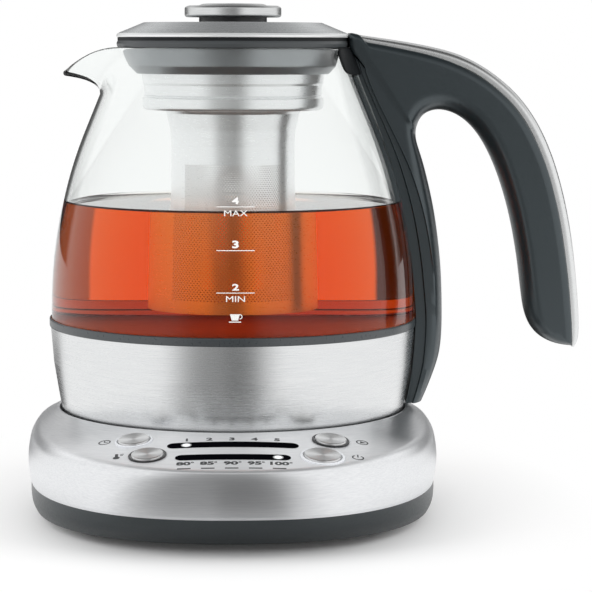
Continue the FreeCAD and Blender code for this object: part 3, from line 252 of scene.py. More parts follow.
noiseSpan = (0.3, 0.7)      # nearly all of what a noise gives lies between these
evenGrain = (900, 900, 900)
scratch = {"detail": 4.0, "roughness": 0.7, "depth": 0.0001}
grit = {"slowScale": 40.0, "detail": 2.0, "depth": 0.00008, "tones": (0.88, 1.08), "polish": (-0.04, 0.05)}
# how much metal the front panel loses, and the height and depth where that sets in: a painted brightening
panelLight = {"share": 0.45, "height": (0.0362, 0.0378), "depth": (-0.080, -0.060)}      # metres


def brushedSteel(name, light, dark, roughness, grain, strength=0.12, metallic=1.0, swing=0.055, **sockets):
    # fine scratches: noise drawn out along the grain, in colour, roughness and height. The grain is a
    # scale along each axis, or what roundGrain gives
    material, tree, shader = newMaterial(name, light, roughness, metallic, **sockets)
    point = grain(tree) if callable(grain) else stretched(tree, objectPlace(tree), grain)
    fine = noise(tree, point, 1.0, scratch["detail"], scratch["roughness"])
    feed(tree, shader.inputs["Base Color"], mixColor(tree, ramp(tree, fine, *noiseSpan, 0, 1), dark, light))
    feed(tree, shader.inputs["Roughness"], ramp(tree, fine, *noiseSpan, roughness + swing, roughness - swing))
    bump(tree, shader, fine, strength, scratch["depth"])
    return material


def roundGrain(alongScale, acrossScale):
    # a point made of the bearing round the vertical axis, the height and the radius, so that the grain
    # runs round the piece
    def point(tree):
        place = objectPlace(tree)
        spot = addNode(tree, "SeparateXYZ", place).outputs
        bearing = mathNode(tree, "ARCTAN2", spot["X"], product(tree, spot["Y"], -1.0))
        radius = vectorMath(tree, "LENGTH", vectorMath(tree, "MULTIPLY", place, (1, 1, 0)))
        joined = addNode(tree, "CombineXYZ", bearing, spot["Z"], radius).outputs[0]
        return stretched(tree, joined, (alongScale, acrossScale, acrossScale))
    return point


def paintPanelLight(material):
    # painted light: on the sloped panel, towards the front, the steel is made a little less metallic, so that
    # lamplight shows on it as a brightening
    tree = material.node_tree
    spot = addNode(tree, "SeparateXYZ", objectPlace(tree)).outputs
    high = ramp(tree, spot["Z"], *panelLight["height"], 0.0, panelLight["share"])
    forward = ramp(tree, spot["Y"], *panelLight["depth"], 1.0, 0.0)
    metal = mathNode(tree, "SUBTRACT", 1.0, product(tree, high, forward))
    feed(tree, tree.nodes["Principled BSDF"].inputs["Metallic"], metal)


def spunMetal(name, color, roughness, anisotropy):
    # turned metal: the sheen is drawn out from the middle, along the map's first direction
    material, tree, shader = newMaterial(name, color, roughness, metallic=1.0, Anisotropic=anisotropy)
    tangent = addNode(tree, "Tangent", direction_type="UV_MAP", uv_map="Spin")
    feed(tree, shader.inputs["Tangent"], tangent.outputs[0])
    return material


def mouldedPlastic(name, color, roughness, grain=900.0, strength=0.08, metallic=0.0, **sockets):
    # a faint moulded grain and a slow unevenness in tone and polish
    material, tree, shader = newMaterial(name, color, roughness, metallic, **sockets)
    place = objectPlace(tree)
    slow, fine = [noise(tree, place, scale, grit["detail"]) for scale in (grit["slowScale"], grain)]
    darker, lighter = [tuple(min(1.0, tone * part) for part in color) for tone in grit["tones"]]
    smooth, rough = [roughness + change for change in grit["polish"]]
    feed(tree, shader.inputs["Base Color"], mixColor(tree, slow, darker, lighter))
    feed(tree, shader.inputs["Roughness"], ramp(tree, fine, *noiseSpan, smooth, rough))
    bump(tree, shader, fine, strength, grit["depth"])
    return material


def clearGlass(name, color, ior, absorb, density, **sockets):
    # takes up colour with depth, and lets lamplight through to what stands inside
    material, tree, shader = newMaterial(name, color, 0.0, Transmission_Weight=1.0, IOR=ior, **sockets)
    output = tree.nodes["Material Output"]
    shadow = addNode(tree, "LightPath").outputs["Is Shadow Ray"]
    through = addNode(tree, "BsdfTransparent", Color=(*color, 1))
    feed(tree, output.inputs["Surface"], mixShader(tree, shadow, shader.outputs[0], through.outputs[0]))
    volume = addNode(tree, "VolumeAbsorption", Color=(*absorb, 1), Density=density)
    feed(tree, output.inputs["Volume"], volume.outputs[0])
    return material


steel = brushedSteel("brushedSteel", (0.80, 0.81, 0.81), (0.72, 0.73, 0.74), 0.30, (60, 2600, 2600))
bandSteel = brushedSteel("bandSteel", (0.80, 0.81, 0.81), (0.73, 0.74, 0.75), 0.27, roundGrain(6.0, 2600.0))
coverSteel = brushedSteel("coverSteel", (0.88, 0.89, 0.90), (0.76, 0.77, 0.79), 0.36, roundGrain(8.0, 2400.0))
paintPanelLight(coverSteel)
knobSteel = brushedSteel("knobSteel", (0.74, 0.75, 0.75), (0.62, 0.63, 0.63), 0.30, roundGrain(2.0, 2400.0))
lidSteel = brushedSteel("lidSteel", (0.68, 0.70, 0.71), (0.58, 0.60, 0.61), 0.26, roundGrain(3.0, 2200.0))
# the basket steel glows faintly warm white: painted light that brightens the whole basket
basketSteel = brushedSteel("basketSteel", (0.88, 0.89, 0.90), (0.84, 0.85, 0.86), 0.28,
                           roundGrain(8.0, 2400.0), strength=0.0, metallic=0.86, swing=0.01,
                           Emission_Color=(1.0, 0.98, 0.95, 1), Emission_Strength=0.07)
heaterSteel = brushedSteel("heaterSteel", (0.16, 0.15, 0.15), (0.13, 0.12, 0.12), 0.34,
                           roundGrain(4.0, 1200.0))
# a lighter, partly dull copy of the lid steel for the lid's rim: a painted highlight along the edge
rimSteelLit = brushedSteel("rimSteelLit", (0.82, 0.83, 0.83), (0.80, 0.81, 0.81), 0.42, evenGrain, strength=0.0,
                        metallic=0.55)
trimSteel = brushedSteel("trimSteel", (0.80, 0.81, 0.81), (0.76, 0.77, 0.77), 0.30, evenGrain, strength=0.0)
canMetal = brushedSteel("canMetal", (0.66, 0.66, 0.68), (0.56, 0.56, 0.58), 0.35, evenGrain)
brass = brushedSteel("contactBrass", (0.80, 0.58, 0.25), (0.70, 0.50, 0.20), 0.25, evenGrain)
zinc = brushedSteel("zincScrew", (0.66, 0.66, 0.66), (0.56, 0.56, 0.56), 0.3, evenGrain)
buttonMetal = spunMetal("buttonMetal", (0.92, 0.92, 0.92), 0.38, 0.9)
slate = mouldedPlastic("slatePlastic", (0.007, 0.011, 0.013), 0.34, IOR=1.85,
                       Specular_Tint=(0.84, 0.95, 1.0, 1))
skirtSlate = mouldedPlastic("skirtSlate", (0.004, 0.008, 0.010), 0.32, IOR=1.55,
                            Specular_Tint=(0.86, 0.96, 1.0, 1))
ringPlastic = mouldedPlastic("ringPlastic", (0.030, 0.036, 0.040), 0.30, IOR=1.70)
collarPlastic = mouldedPlastic("collarPlastic", (0.44, 0.46, 0.475), 0.36, metallic=0.85)
silicone = mouldedPlastic("silicone", (0.045, 0.050, 0.053), 0.38)
# the gasket glows warm: painted light standing in for lamplight that reaches it through the tea
gasketPaintedGlow = mouldedPlastic("gasketPaintedGlow", (0.85, 0.82, 0.78), 0.5, strength=0.0,
                            Emission_Color=(1.0, 0.85, 0.7, 1), Emission_Strength=0.35)
footRubber = mouldedPlastic("footRubber", (0.03, 0.03, 0.03), 0.7, grain=1500.0, strength=0.2)
padPlastic = mouldedPlastic("padPlastic", (0.010, 0.011, 0.012), 0.45, IOR=1.25)
blackPlastic = mouldedPlastic("blackPlastic", (0.022, 0.023, 0.025), 0.38)
bezelPlastic = mouldedPlastic("bezelPlastic", (0.02, 0.02, 0.022), 0.16, strength=0.02)
lightRing = mouldedPlastic("lightRing", (0.75, 0.77, 0.80), 0.30, strength=0.02)
windowLens = mouldedPlastic("windowLens", (0.002, 0.002, 0.003), 0.25, strength=0.0, Specular_IOR_Level=0.0)
ledGuide = mouldedPlastic("ledGuide", (0.8, 0.82, 0.85), 0.2, strength=0.0)
circuitBoard = mouldedPlastic("circuitBoard", (0.015, 0.12, 0.05), 0.35)
switchBody = mouldedPlastic("switchBody", (0.04, 0.04, 0.04), 0.4)
relayCase = mouldedPlastic("relayCase", (0.02, 0.06, 0.18), 0.35)
core = mouldedPlastic("transformerCore", (0.10, 0.09, 0.085), 0.6)
glass = clearGlass("clearGlass", (0.985, 0.995, 0.99), 1.47, (0.55, 0.60, 0.59), 24.0,
                   Specular_Tint=(0.34, 0.34, 0.34, 1))
tea = clearGlass("blackTea", (1.0, 1.0, 1.0), 1.33, (0.965, 0.56, 0.0), 44.0,
                 Specular_Tint=(0.15, 0.15, 0.15, 1))
whiteInk = mouldedPlastic("whiteInk", (0.86, 0.86, 0.84), 0.5, strength=0.0)
darkInk = mouldedPlastic("darkInk", (0.035, 0.037, 0.04), 0.45, strength=0.0)

slotMaterials = {
    "brushed_steel": steel, "lid_steel": lidSteel, "basket_steel": basketSteel, "heater_steel": heaterSteel,
    "trim_steel": trimSteel, "button_metal": buttonMetal, "slate_plastic": slate, "ring_plastic": ringPlastic,
    "collar_plastic": collarPlastic, "silicone": silicone, "rubber_foot": footRubber,
    "black_plastic": blackPlastic, "bezel_plastic": bezelPlastic, "light_ring": lightRing,
    "window_lens": windowLens, "led_guide": ledGuide, "clear_glass": glass, "circuit_board": circuitBoard,
    "switch_body": switchBody, "relay_case": relayCase, "transformer_core": core, "can_aluminium": canMetal,
    "contact_brass": brass, "zinc_screw": zinc,
}
for part in frame["record"]["subparts"]:
    shown = nodes[part["node"]]
    shown.data.materials.clear()
    shown.data.materials.append(slotMaterials[part["material_slot"]])
nodes["jug_band"].data.materials[0] = bandSteel
nodes["base_skirt"].data.materials[0] = skirtSlate
print("materials on the frame")

# Glass jug: belly, shoulder arc, straight neck and a drawn-out pouring lip on the -X side

jug = {
    "bottomZ": 79.3, "bellyR": 77.5, "bellyZ": 87.0, "shoulderR": 63.2, "shoulderZ": 162.0, "curveR": 200.0,
    "rimR": 48.6, "rimZ": 197.6, "wall": 2.4, "throatZ": 178.5,
    "spoutReach": 71.0, "spoutTipZ": 186.2, "spoutBendR": 56.2, "spoutBendZ": 184.2,
    "spoutHalfAngle": 13.0, "spoutPower": 1.45,
    "spoutSpan": 32.0, "spoutColumns": 97, "restColumns": 171, "lipRows": 9,
}


def glassRadius(height):
    # radius of the glass outside: straight belly, then an arc to the shoulder, then a straight cone
    height = np.asarray(height, float)
    lowR, lowZ, highR, highZ = jug["bellyR"], jug["bellyZ"], jug["shoulderR"], jug["shoulderZ"]
    chord = math.hypot(highR - lowR, highZ - lowZ)
    rise = math.sqrt(jug["curveR"] ** 2 - chord ** 2 / 4)
    centreR = (lowR + highR) / 2 - rise * (highZ - lowZ) / chord
    centreZ = (lowZ + highZ) / 2 + rise * (highR - lowR) / chord
    arc = centreR + np.sqrt(jug["curveR"] ** 2 - (np.clip(height, lowZ, highZ) - centreZ) ** 2)
    cone = highR + (jug["rimR"] - highR) * (height - highZ) / (jug["rimZ"] - highZ)
    return np.where(height < lowZ, lowR, np.where(height < highZ, arc, cone))


def spoutShare(angle):
    # 1 on the spout's middle line, falling to 0 round the neck as exp(-(angle / half angle) ^ power)
    away = np.abs((angle % (2 * np.pi)) - np.pi)
    return np.exp(-(away / math.radians(jug["spoutHalfAngle"])) ** jug["spoutPower"])


def glassOutside(angles, bodyRows=46, neckRows=26):
    # upright rows to the throat, then curves that lean out to the lip where the spout is
    bodyZ = np.linspace(jug["bottomZ"], jug["throatZ"], bodyRows)
    body = turned(np.stack([glassRadius(bodyZ), bodyZ], 1), angles=angles)
    share = spoutShare(angles)[None, :]
    way = np.linspace(0, 1, neckRows + 1)[1:, None]
    startR, startZ = float(glassRadius(jug["throatZ"])), jug["throatZ"]
    endR = jug["rimR"] + (jug["spoutReach"] - jug["rimR"]) * share
    endZ = jug["rimZ"] + (jug["spoutTipZ"] - jug["rimZ"]) * share ** 2
    bendR = (startR + jug["rimR"]) / 2 * (1 - share) + jug["spoutBendR"] * share
    bendZ = (startZ + jug["rimZ"]) / 2 * (1 - share) + jug["spoutBendZ"] * share
    neck = polar(bent(way, startR, bendR, endR), angles, bent(way, startZ, bendZ, endZ))
    return np.concatenate([body, neck], 0)


def outwardNormals(grid):
    # across the grid's two directions, at every point, for a grid that closes round the axis
    along = np.gradient(grid, axis=0)
    wrapped = np.concatenate([grid[:, -1:], grid, grid[:, :1]], 1)
    around = (wrapped[:, 2:] - wrapped[:, :-2]) / 2
    normal = np.cross(around, along)
    return normal / np.linalg.norm(normal, axis=2)[..., None]


def alongRow(row):
    # unit steps along a closed row of points, from the neighbour before to the neighbour after
    step = np.roll(row, -1, 0) - np.roll(row, 1, 0)
    return step / np.linalg.norm(step, axis=1)[:, None]


def buildJug():
    # the outside, a half-round lip and the inside, a wall's thickness in along the normals
    span = jug["spoutSpan"]
    spoutSide = np.pi + np.radians(np.linspace(-span, span, jug["spoutColumns"]))
    rest = np.pi + np.radians(np.linspace(span, 360 - span, jug["restColumns"]))[1:-1]
    outside = glassOutside(np.concatenate([spoutSide, rest]))
    normal = outwardNormals(outside)
    inside = outside - normal * jug["wall"]
    lip = np.linspace(0, np.pi, jug["lipRows"])[1:-1, None, None]
    upward = np.cross(normal[-1], alongRow(outside[-1]))
    rim = (outside[-1] + inside[-1]) / 2 + jug["wall"] / 2 * (np.cos(lip) * normal[-1] + np.sin(lip) * upward)
    loop = np.concatenate([outside, rim, inside[::-1]], 0)
    piece = gridPiece("glass_jug_blown", loop, "jug", glass, "clear_glass", closeRows=True)
    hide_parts("glass_jug")


band = {
    "outer": [(68.0, 43.02, 0), (72.9, 43.02, 0.6), (74.6, 52.0, 12.0), (76.7, 65.0, 12.0),
              (77.95, 80.3, 0), (76.9, 80.3, 0)],
    "ring": [(77.0, 80.3, 0.3), (78.45, 80.3, 0.5), (78.45, 83.9, 0.6), (77.55, 83.9, 0.2),
             (77.55, 80.6, 0.2), (77.0, 80.6, 0)],
    "plate": [(0.4, 78.5, 0), (76.6, 78.5, 0.2), (76.6, 77.0, 0)],
    "sleeve": [(77.52, 83.75), (77.54, 78.6)], "segments": 240,
}
strap = {"low": 187.0, "high": 198.4, "from": -30.0, "to": 8.0, "gap": 0.15, "thick": 2.0,
         "rows": 41, "columns": 48, "endPower": 6, "endRound": 0.25, "squareness": 0.5}


def buildBand():
    # the steel band, the ring over it, the floor plate and the gasket, each a turned section
    segments = band["segments"]
    skin = turnedPiece("band_shell", band["outer"], "jug", bandSteel, "brushed_steel", segments, flip=False)
    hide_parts("jug_band")
    rim = turnedPiece("ring_rim", band["ring"], "jug", ringPlastic, "ring_plastic", segments, closed=True,
                      flip=False)
    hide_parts("glass_ring")
    plate = turnedPiece("plate_top", band["plate"], "jug", heaterSteel, "heater_steel", poles=("last",))
    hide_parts("heating_plate")
    # the sleeve carries the gasket's painted glow
    sleeve = gridPiece("gasket_sleeve", turned(np.array(band["sleeve"])), "jug", gasketPaintedGlow, "silicone")
    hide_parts("glass_gasket")


def buildStrap():
    # a pad on the neck where the handle meets it: a squarish round section, sign(cos) |cos| ^ squareness,
    # that shrinks to its ends as (1 - share ^ endPower) ^ endRound
    share = np.sin(np.linspace(-1, 1, strap["rows"]) * np.pi / 2)
    shrink = ((1 - share ** strap["endPower"]) ** strap["endRound"])[:, None]
    angle = np.radians((strap["from"] + strap["to"]) / 2 + (strap["to"] - strap["from"]) / 2 * share)
    turn = fullTurn(strap["columns"])
    across, upward = [np.sign(part) * np.abs(part) ** strap["squareness"]
                      for part in (np.cos(turn), np.sin(turn))]
    middle, half = (strap["low"] + strap["high"]) / 2, (strap["high"] - strap["low"]) / 2
    height = middle + half * shrink * upward
    radius = glassRadius(height) + strap["gap"] + strap["thick"] / 2 * (1 + shrink * across)
    pad = gridPiece("neck_strap", polar(radius, angle[:, None], height), "jug", padPlastic, "black_plastic",
                    poles=("first", "last"))
    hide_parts("neck_pad")


buildJug()
buildBand()
buildStrap()
print("glass jug")

# Tea in the jug, with a meniscus that climbs the glass

brew = {
    "bottomZ": 78.2, "levelZ": 132.2, "climb": 1.4, "climbFall": 1.0, "overlap": 0.12, "floorR": 10.0,
    "corner": 0.5, "wallRows": 40, "topSteps": (0.3, 0.8, 1.5, 2.4, 4.0, 7.0, 12.0, 30.0), "segments": 192,
}


def buildTea():
    # the floor, the inside of the glass, then the surface, whose climb dies away as exp(-distance)
    wallZ = np.linspace(brew["bottomZ"] + brew["corner"], brew["levelZ"] + brew["climb"], brew["wallRows"])
    wallR = glassRadius(wallZ) - jug["wall"] + brew["overlap"]
    floor = [(brew["floorR"], brew["bottomZ"]), (wallR[0] - brew["corner"], brew["bottomZ"])]
    away = np.array(brew["topSteps"])
    topZ = brew["levelZ"] + brew["climb"] * np.exp(-away / brew["climbFall"])
    profile = np.vstack([floor, np.stack([wallR, wallZ], 1), np.stack([wallR[-1] - away, topZ], 1)])
    gridPiece("tea", turned(profile, brew["segments"]), "jug", tea, "clear_glass", poles=("first", "last"))


buildTea()
print("tea")

# Handle: one moulding shaped like a horseshoe between two curves in the plane of the jug's axis, the
# edge of the finger gap and the outer edge, with a steel strip let into the outer edge

handle = {
    # gap edge x, z and the point across from it on the outer edge x, z, from the grip's tip to the leg
    "across": [
        (144.2, 71.2, 144.8, 71.5), (139.5, 71.8, 145.1, 74.0), (134.5, 73.6, 145.1, 77.5),
        (130.3, 76.6, 144.9, 81.0), (127.4, 80.6, 144.7, 84.6), (125.6, 85.2, 144.2, 88.3),
        (124.6, 90.0, 143.9, 92.6), (123.4, 99.0, 143.0, 100.8), (122.2, 108.2, 141.8, 110.2),
        (120.9, 115.9, 140.6, 117.4), (119.4, 123.5, 139.2, 125.6), (117.6, 131.0, 137.5, 133.4),
        (115.4, 138.5, 135.5, 141.2), (112.6, 146.5, 132.6, 150.2), (109.3, 154.0, 129.0, 158.2),
        (105.3, 161.0, 124.2, 167.4), (100.3, 167.0, 117.0, 176.6), (94.0, 171.2, 107.4, 184.8),
        (87.0, 172.7, 96.0, 191.2), (81.6, 170.8, 83.2, 195.6), (79.4, 168.0, 70.0, 198.3),
        (78.3, 165.2, 58.5, 200.5), (78.0, 164.0, 54.9, 201.1), (77.95, 163.2, 53.9, 204.0),
        (77.92, 162.8, 52.2, 204.3), (77.9, 162.4, 50.0, 204.8), (77.9, 161.6, 49.7, 203.2),
        (77.95, 160.8, 49.8, 199.4),
        (78.2, 159.2, 51.4, 191.7), (78.9, 156.6, 56.6, 178.5), (81.1, 150.2, 63.4, 162.0),
        (83.0, 143.0, 67.5, 149.5), (84.8, 135.5, 70.2, 139.5), (86.4, 127.5, 72.5, 130.5),
        (87.6, 119.5, 74.2, 121.5), (88.6, 111.5, 75.6, 113.0), (89.3, 103.5, 76.7, 104.5),
        (89.7, 95.0, 77.5, 95.5), (89.9, 87.0, 78.3, 87.0), (89.9, 79.5, 78.5, 79.3),
        (89.3, 70.0, 77.9, 69.5), (87.9, 64.0, 77.3, 63.0), (85.6, 57.5, 76.4, 56.2),
        (83.2, 51.3, 75.2, 50.2), (81.4, 47.2, 74.6, 46.9),
    ],
    "legStart": 24.0, "legFull": 27.5, "ledgeStart": 27.15, "ledgeFull": 27.45,
    "halfWidth": 12.5, "legHalfWidth": 12.0, "trimEdge": 10.2, "trimRound": 3.6,
    "ledges": ((4.0, 9.0), (8.6, 10.3)), "bevel": 0.2, "neckHug": 54.0, "bellyHug": 78.0,
    "hugStart": 22.0, "hugFull": 24.0,
    "gripRound": 6.0, "archRound": 8.0, "legRound": 7.8, "archAt": 18.5, "archSpread": 4.5,
    "edgeRows": (0, 0.3, 0.7, 2.0, 3.2), "middleRow": 6.3, "fixedShare": 0.85, "softEdge": 0.3,
    "innerRows": 20, "perSpan": 5, "easing": 10,
}
trim = {
    # inner edge x, z and outer edge x, z, from the root by the lid to the grip's tip
    "across": [
        (53.9, 201.3, 53.9, 203.8), (58.3, 200.4, 58.7, 203.1), (63.8, 199.3, 64.6, 202.3),
        (69.9, 198.1, 71.2, 201.4), (78.3, 196.4, 80.3, 199.8), (86.0, 194.5, 88.6, 198.1),
        (92.9, 192.4, 95.7, 196.1), (99.5, 189.7, 102.6, 193.0), (105.3, 186.4, 108.8, 189.3),
        (110.6, 182.4, 114.3, 185.1), (115.5, 178.2, 119.2, 180.9), (119.6, 173.9, 123.5, 176.3),
        (123.3, 169.0, 127.4, 170.9), (126.5, 163.8, 130.9, 165.4), (129.6, 157.4, 134.0, 158.8),
        (132.5, 150.6, 136.9, 151.8), (134.9, 143.4, 139.2, 144.6), (136.8, 136.5, 141.1, 137.6),
        (138.5, 129.7, 142.8, 130.7), (139.9, 122.8, 144.2, 123.6), (141.0, 115.9, 145.4, 116.6),
        (142.1, 109.0, 146.4, 109.6), (143.0, 102.1, 147.2, 102.6), (143.8, 95.2, 147.9, 95.6),
        (144.4, 88.3, 148.5, 88.5), (144.9, 81.6, 148.9, 81.4), (145.3, 76.0, 148.9, 76.2),
        (145.3, 72.8, 148.1, 73.0), (145.1, 71.4, 146.6, 71.3),
    ],
    "halfWidth": 9.6, "fullness": 5.0, "rows": 15, "perSpan": 5, "easing": 30,
}


def smoothThrough(stations, perSpan, easing):
    # a smooth path through the stations: cubic pieces whose slope at a station is that of the line
    # between its neighbours, with small waves evened out by averaging each point with its neighbours
    table = np.array(stations, float)
    step = np.linalg.norm(np.diff(table, axis=0), axis=1)
    way = np.concatenate([[0], np.cumsum(step)])
    slope = np.gradient(table, way, axis=0)
    fine = np.concatenate([np.linspace(way[i], way[i + 1], perSpan, endpoint=False)
                           for i in range(len(step))] + [way[-1:]])
    span = np.clip(np.searchsorted(way, fine, side="right") - 1, 0, len(step) - 1)
    t = ((fine - way[span]) / step[span])[:, None]
    path = cubic(t, step[span][:, None], table[span], slope[span], table[span + 1], slope[span + 1])
    for _ in range(easing):
        path[1:-1] = (path[:-2] + 2 * path[1:-1] + path[2:]) / 4
    return path, np.arange(len(fine)) / perSpan


def rise(station, start, full):
    # 0 up to start and 1 from full on, with an S-shaped step 3 s ^ 2 - 2 s ^ 3 between them
    share = np.clip((station - start) / (full - start), 0, 1)[:, None]
    return share * share * (3 - 2 * share)


def quarterRound(distance, radius):
    # height of a rounded edge, 0 at the edge and 1 from the radius on
    return np.sqrt(np.clip(1 - (1 - np.clip(distance / radius, 0, 1)) ** 2, 0, 1))


def bothSides(x, side, z):
    # a loop across the handle: the near half, then the same points mirrored to the far side
    near = np.stack([x, -side, z], -1)
    return np.concatenate([near, near[:, -2::-1] * (1, -1, 1)], 1)


def buildHandle():
    # rows across the moulding lie at set distances from the outer edge over the ledges, then ever closer
    # to the gap. Each has its half width, less on the leg's ledges and rounded off at both edges
    path, station = smoothThrough(handle["across"], handle["perSpan"], handle["easing"])
    gap, outer = path[:, :2], path[:, 2:]
    width = np.linalg.norm(gap - outer, axis=1)[:, None]
    (firstLedge, firstHeight), (secondLedge, secondHeight) = handle["ledges"]
    beside = np.array([-3, -1, 1, 3]) * handle["bevel"]
    setRows = np.concatenate([handle["edgeRows"], firstLedge + beside, [handle["middleRow"]],
                              secondLedge + beside])
    squeeze = np.minimum(1, handle["fixedShare"] * width / setRows[-1])
    even = np.linspace(0, 1, handle["innerRows"])[1:]
    reached = setRows[-1] * squeeze
    closer = reached + (width - reached) * (1 - (1 - even) ** 2)
    fromOuter = np.concatenate([setRows * squeeze, closer], 1)
    leg = rise(station, handle["legStart"], handle["legFull"])
    arch = np.exp(-((station - handle["archAt"]) / handle["archSpread"]) ** 2)[:, None]
    edgeRound = handle["gripRound"] * (1 - leg) + handle["legRound"] * leg
    edgeRound = edgeRound + (handle["archRound"] - edgeRound) * arch
    half = handle["halfWidth"] * (1 - leg) + handle["legHalfWidth"] * leg
    gripSide = handle["trimEdge"] + (half - handle["trimEdge"]) * quarterRound(fromOuter, handle["trimRound"])
    inStep = fromOuter / squeeze
    ledge = np.where(inStep < firstLedge, firstHeight, np.where(inStep < secondLedge, secondHeight, half))
    onLedge = rise(station, handle["ledgeStart"], handle["ledgeFull"])
    side = gripSide * (1 - onLedge) + ledge * onLedge
    side = side - handle["softEdge"] * np.clip(1 - fromOuter / handle["softEdge"], 0, 1)
    side = np.minimum(side, half * quarterRound(width - fromOuter, edgeRound))
    place = outer[:, None] + (gap - outer)[:, None] * (fromOuter / width)[..., None]
    # by the jug the outer edge is hollowed to fit the round glass, by side ^ 2 / (2 radius)
    radius = handle["neckHug"] + (handle["bellyHug"] - handle["neckHug"]) * onLedge
    hug = side ** 2 / (2 * radius) * rise(station, handle["hugStart"], handle["hugFull"])
    hug = hug * np.clip(1 - fromOuter / firstLedge, 0, 1)
    piece = gridPiece("handle_moulding", bothSides(place[..., 0] - hug, side, place[..., 1]), "jug", slate,
                      "slate_plastic", poles=("first", "last"))
    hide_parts("handle_body", "handle_bracket")


def buildTrim():
    # the section across the strip is flat near its inner edge and rounds off to the outer edge, with a
    # half width that falls as (1 - share ^ fullness) ^ 1/2
    path, _ = smoothThrough(trim["across"], trim["perSpan"], trim["easing"])
    inner, outer = path[:, :2], path[:, 2:]
    share = np.sin(np.linspace(0, 1, trim["rows"]) * np.pi / 2)
    side = trim["halfWidth"] * np.sqrt(np.clip(1 - share ** trim["fullness"], 0, 1))
    place = inner[:, None] + (outer - inner)[:, None] * share[None, :, None]
    loop = bothSides(place[..., 0], np.broadcast_to(side, place.shape[:2]), place[..., 1])
    piece = gridPiece("handle_strip", loop[::-1], "jug", trimSteel, "trim_steel", poles=("first", "last"))
    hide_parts("handle_trim")


buildHandle()
buildTrim()
print("handle")

# Basket: cup and neck drawn from sheet, and a strainer with two fields of small holes

basket = {
    "cup": [(38.3, 189.0, 0), (38.9, 188.0, 0.4), (38.3, 183.2, 0.3), (37.8, 182.2, 0.3), (37.7, 178.2, 0.15),
            (37.2, 177.6, 0.1), (38.5, 176.9, 0.2), (38.3, 171.8, 1.9), (29.2, 171.8, 0.5),
            (28.3, 170.4, 0.8), (26.7, 163.5, 12.0), (26.25, 156.9, 0)],
    "collar": [(44.0, 198.1, 0), (45.9, 198.1, 0.3), (43.7, 190.3, 2.4), (40.6, 187.0, 1.2),
               (36.5, 187.0, 0)],
    "wall": 0.7,
    "topZ": 157.2, "topR": 26.2, "bottomZ": 88.4, "bottomR": 27.4, "sheet": 0.5, "topLap": 1.0,
    "fieldTopZ": 149.4, "rows": 67, "rowPitch": 0.84, "columns": 37, "fieldAngle": 100.0, "holeR": 0.33,
    "bandColumns": 148, "sideColumns": 31,
}


def strainerRadius(height):
    # a straight cone from the top radius to the bottom radius
    share = (basket["topZ"] - height) / (basket["topZ"] - basket["bottomZ"])
    return basket["topR"] + (basket["bottomR"] - basket["topR"]) * share


def onStrainer(angle, height, depth):
    # points on the strainer's cone, a depth inside it
    return polar(strainerRadius(height) - depth, angle, height)


def basketPiece(name, grid, **closing):
    # a sheet of the basket, whose rows run round its section
    return gridPiece(name, grid, "basket", basketSteel, "basket_steel", closeRows=True, **closing)


def buildCollar():
    # one section carried round the axis
    piece = turnedPiece("collar_shell", basket["collar"], "basket", collarPlastic, "collar_plastic")
    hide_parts("basket_collar")


def buildCup():
    # the outline, and the same outline a sheet's thickness in, as one section
    outline = roundedProfile(basket["cup"], closed=False)
    along = np.gradient(outline, axis=0)
    inward = np.stack([along[:, 1], -along[:, 0]], 1)
    inward = inward / np.linalg.norm(inward, axis=1)[:, None]
    loop = np.vstack([outline, (outline + inward * basket["wall"])[::-1]])
    piece = basketPiece("basket_cup_drawn", turned(loop[::-1]))
    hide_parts("basket_cup")


def buildField(name, middle):
    # bricks of six edge points round a six-sided hole, odd rows half a brick along; the sheet's two
    # faces and each hole's wall are three rings of quads between four sets of points
    rows, columns = basket["rows"], basket["columns"]
    halfSteps = 2 * columns + 1
    angles = middle + np.radians(np.linspace(-0.5, 0.5, halfSteps) * basket["fieldAngle"])
    heights = basket["fieldTopZ"] - basket["rowPitch"] * np.arange(rows + 1)
    gridZ, gridA = np.meshgrid(heights, angles, indexing="ij")
    lattice = [onStrainer(gridA, gridZ, depth).reshape(-1, 3) for depth in (0.0, basket["sheet"])]
    row, column = np.meshgrid(np.arange(rows), np.arange(columns), indexing="ij")
    start = 2 * column + row % 2
    keep = start + 2 < halfSteps
    row, start = row[keep], start[keep]
    edge = np.stack([row * halfSteps + start, row * halfSteps + start + 1, row * halfSteps + start + 2,
                     (row + 1) * halfSteps + start + 2, (row + 1) * halfSteps + start + 1,
                     (row + 1) * halfSteps + start], -1)
    turn = np.radians([150, 90, 30, -30, -90, -150])
    centreZ = heights[row] - basket["rowPitch"] / 2
    centreA = angles[start + 1]
    holeZ = centreZ[:, None] + basket["holeR"] * np.sin(turn)
    holeA = centreA[:, None] + basket["holeR"] * np.cos(turn) / strainerRadius(centreZ)[:, None]
    holes = [onStrainer(holeA, holeZ, depth).reshape(-1, 3) for depth in (0.0, basket["sheet"])]
    count, cells = len(lattice[0]), len(row)
    rim = 2 * count + np.arange(cells)[:, None] * 6 + np.arange(6)
    bore = rim + 6 * cells
    nextOne = np.roll(np.arange(6), -1)
    outside = np.stack([edge, rim, rim[:, nextOne], edge[:, nextOne]], -1)
    wall = np.stack([rim, bore, bore[:, nextOne], rim[:, nextOne]], -1)
    inside = np.stack([edge + count, edge[:, nextOne] + count, bore[:, nextOne], bore], -1)
    oddRows = np.arange(1, rows, 2)
    ends = []
    for first in (0, halfSteps - 2):
        quad = np.stack([oddRows * halfSteps + first, (oddRows + 1) * halfSteps + first,
                         (oddRows + 1) * halfSteps + first + 1, oddRows * halfSteps + first + 1], -1)
        ends += [quad, quad[:, ::-1] + count]
    faces = np.vstack([part.reshape(-1, 4) for part in (outside, wall, inside)] + ends)
    return meshPiece(name, np.vstack(lattice + holes), faces, "basket", basketSteel)


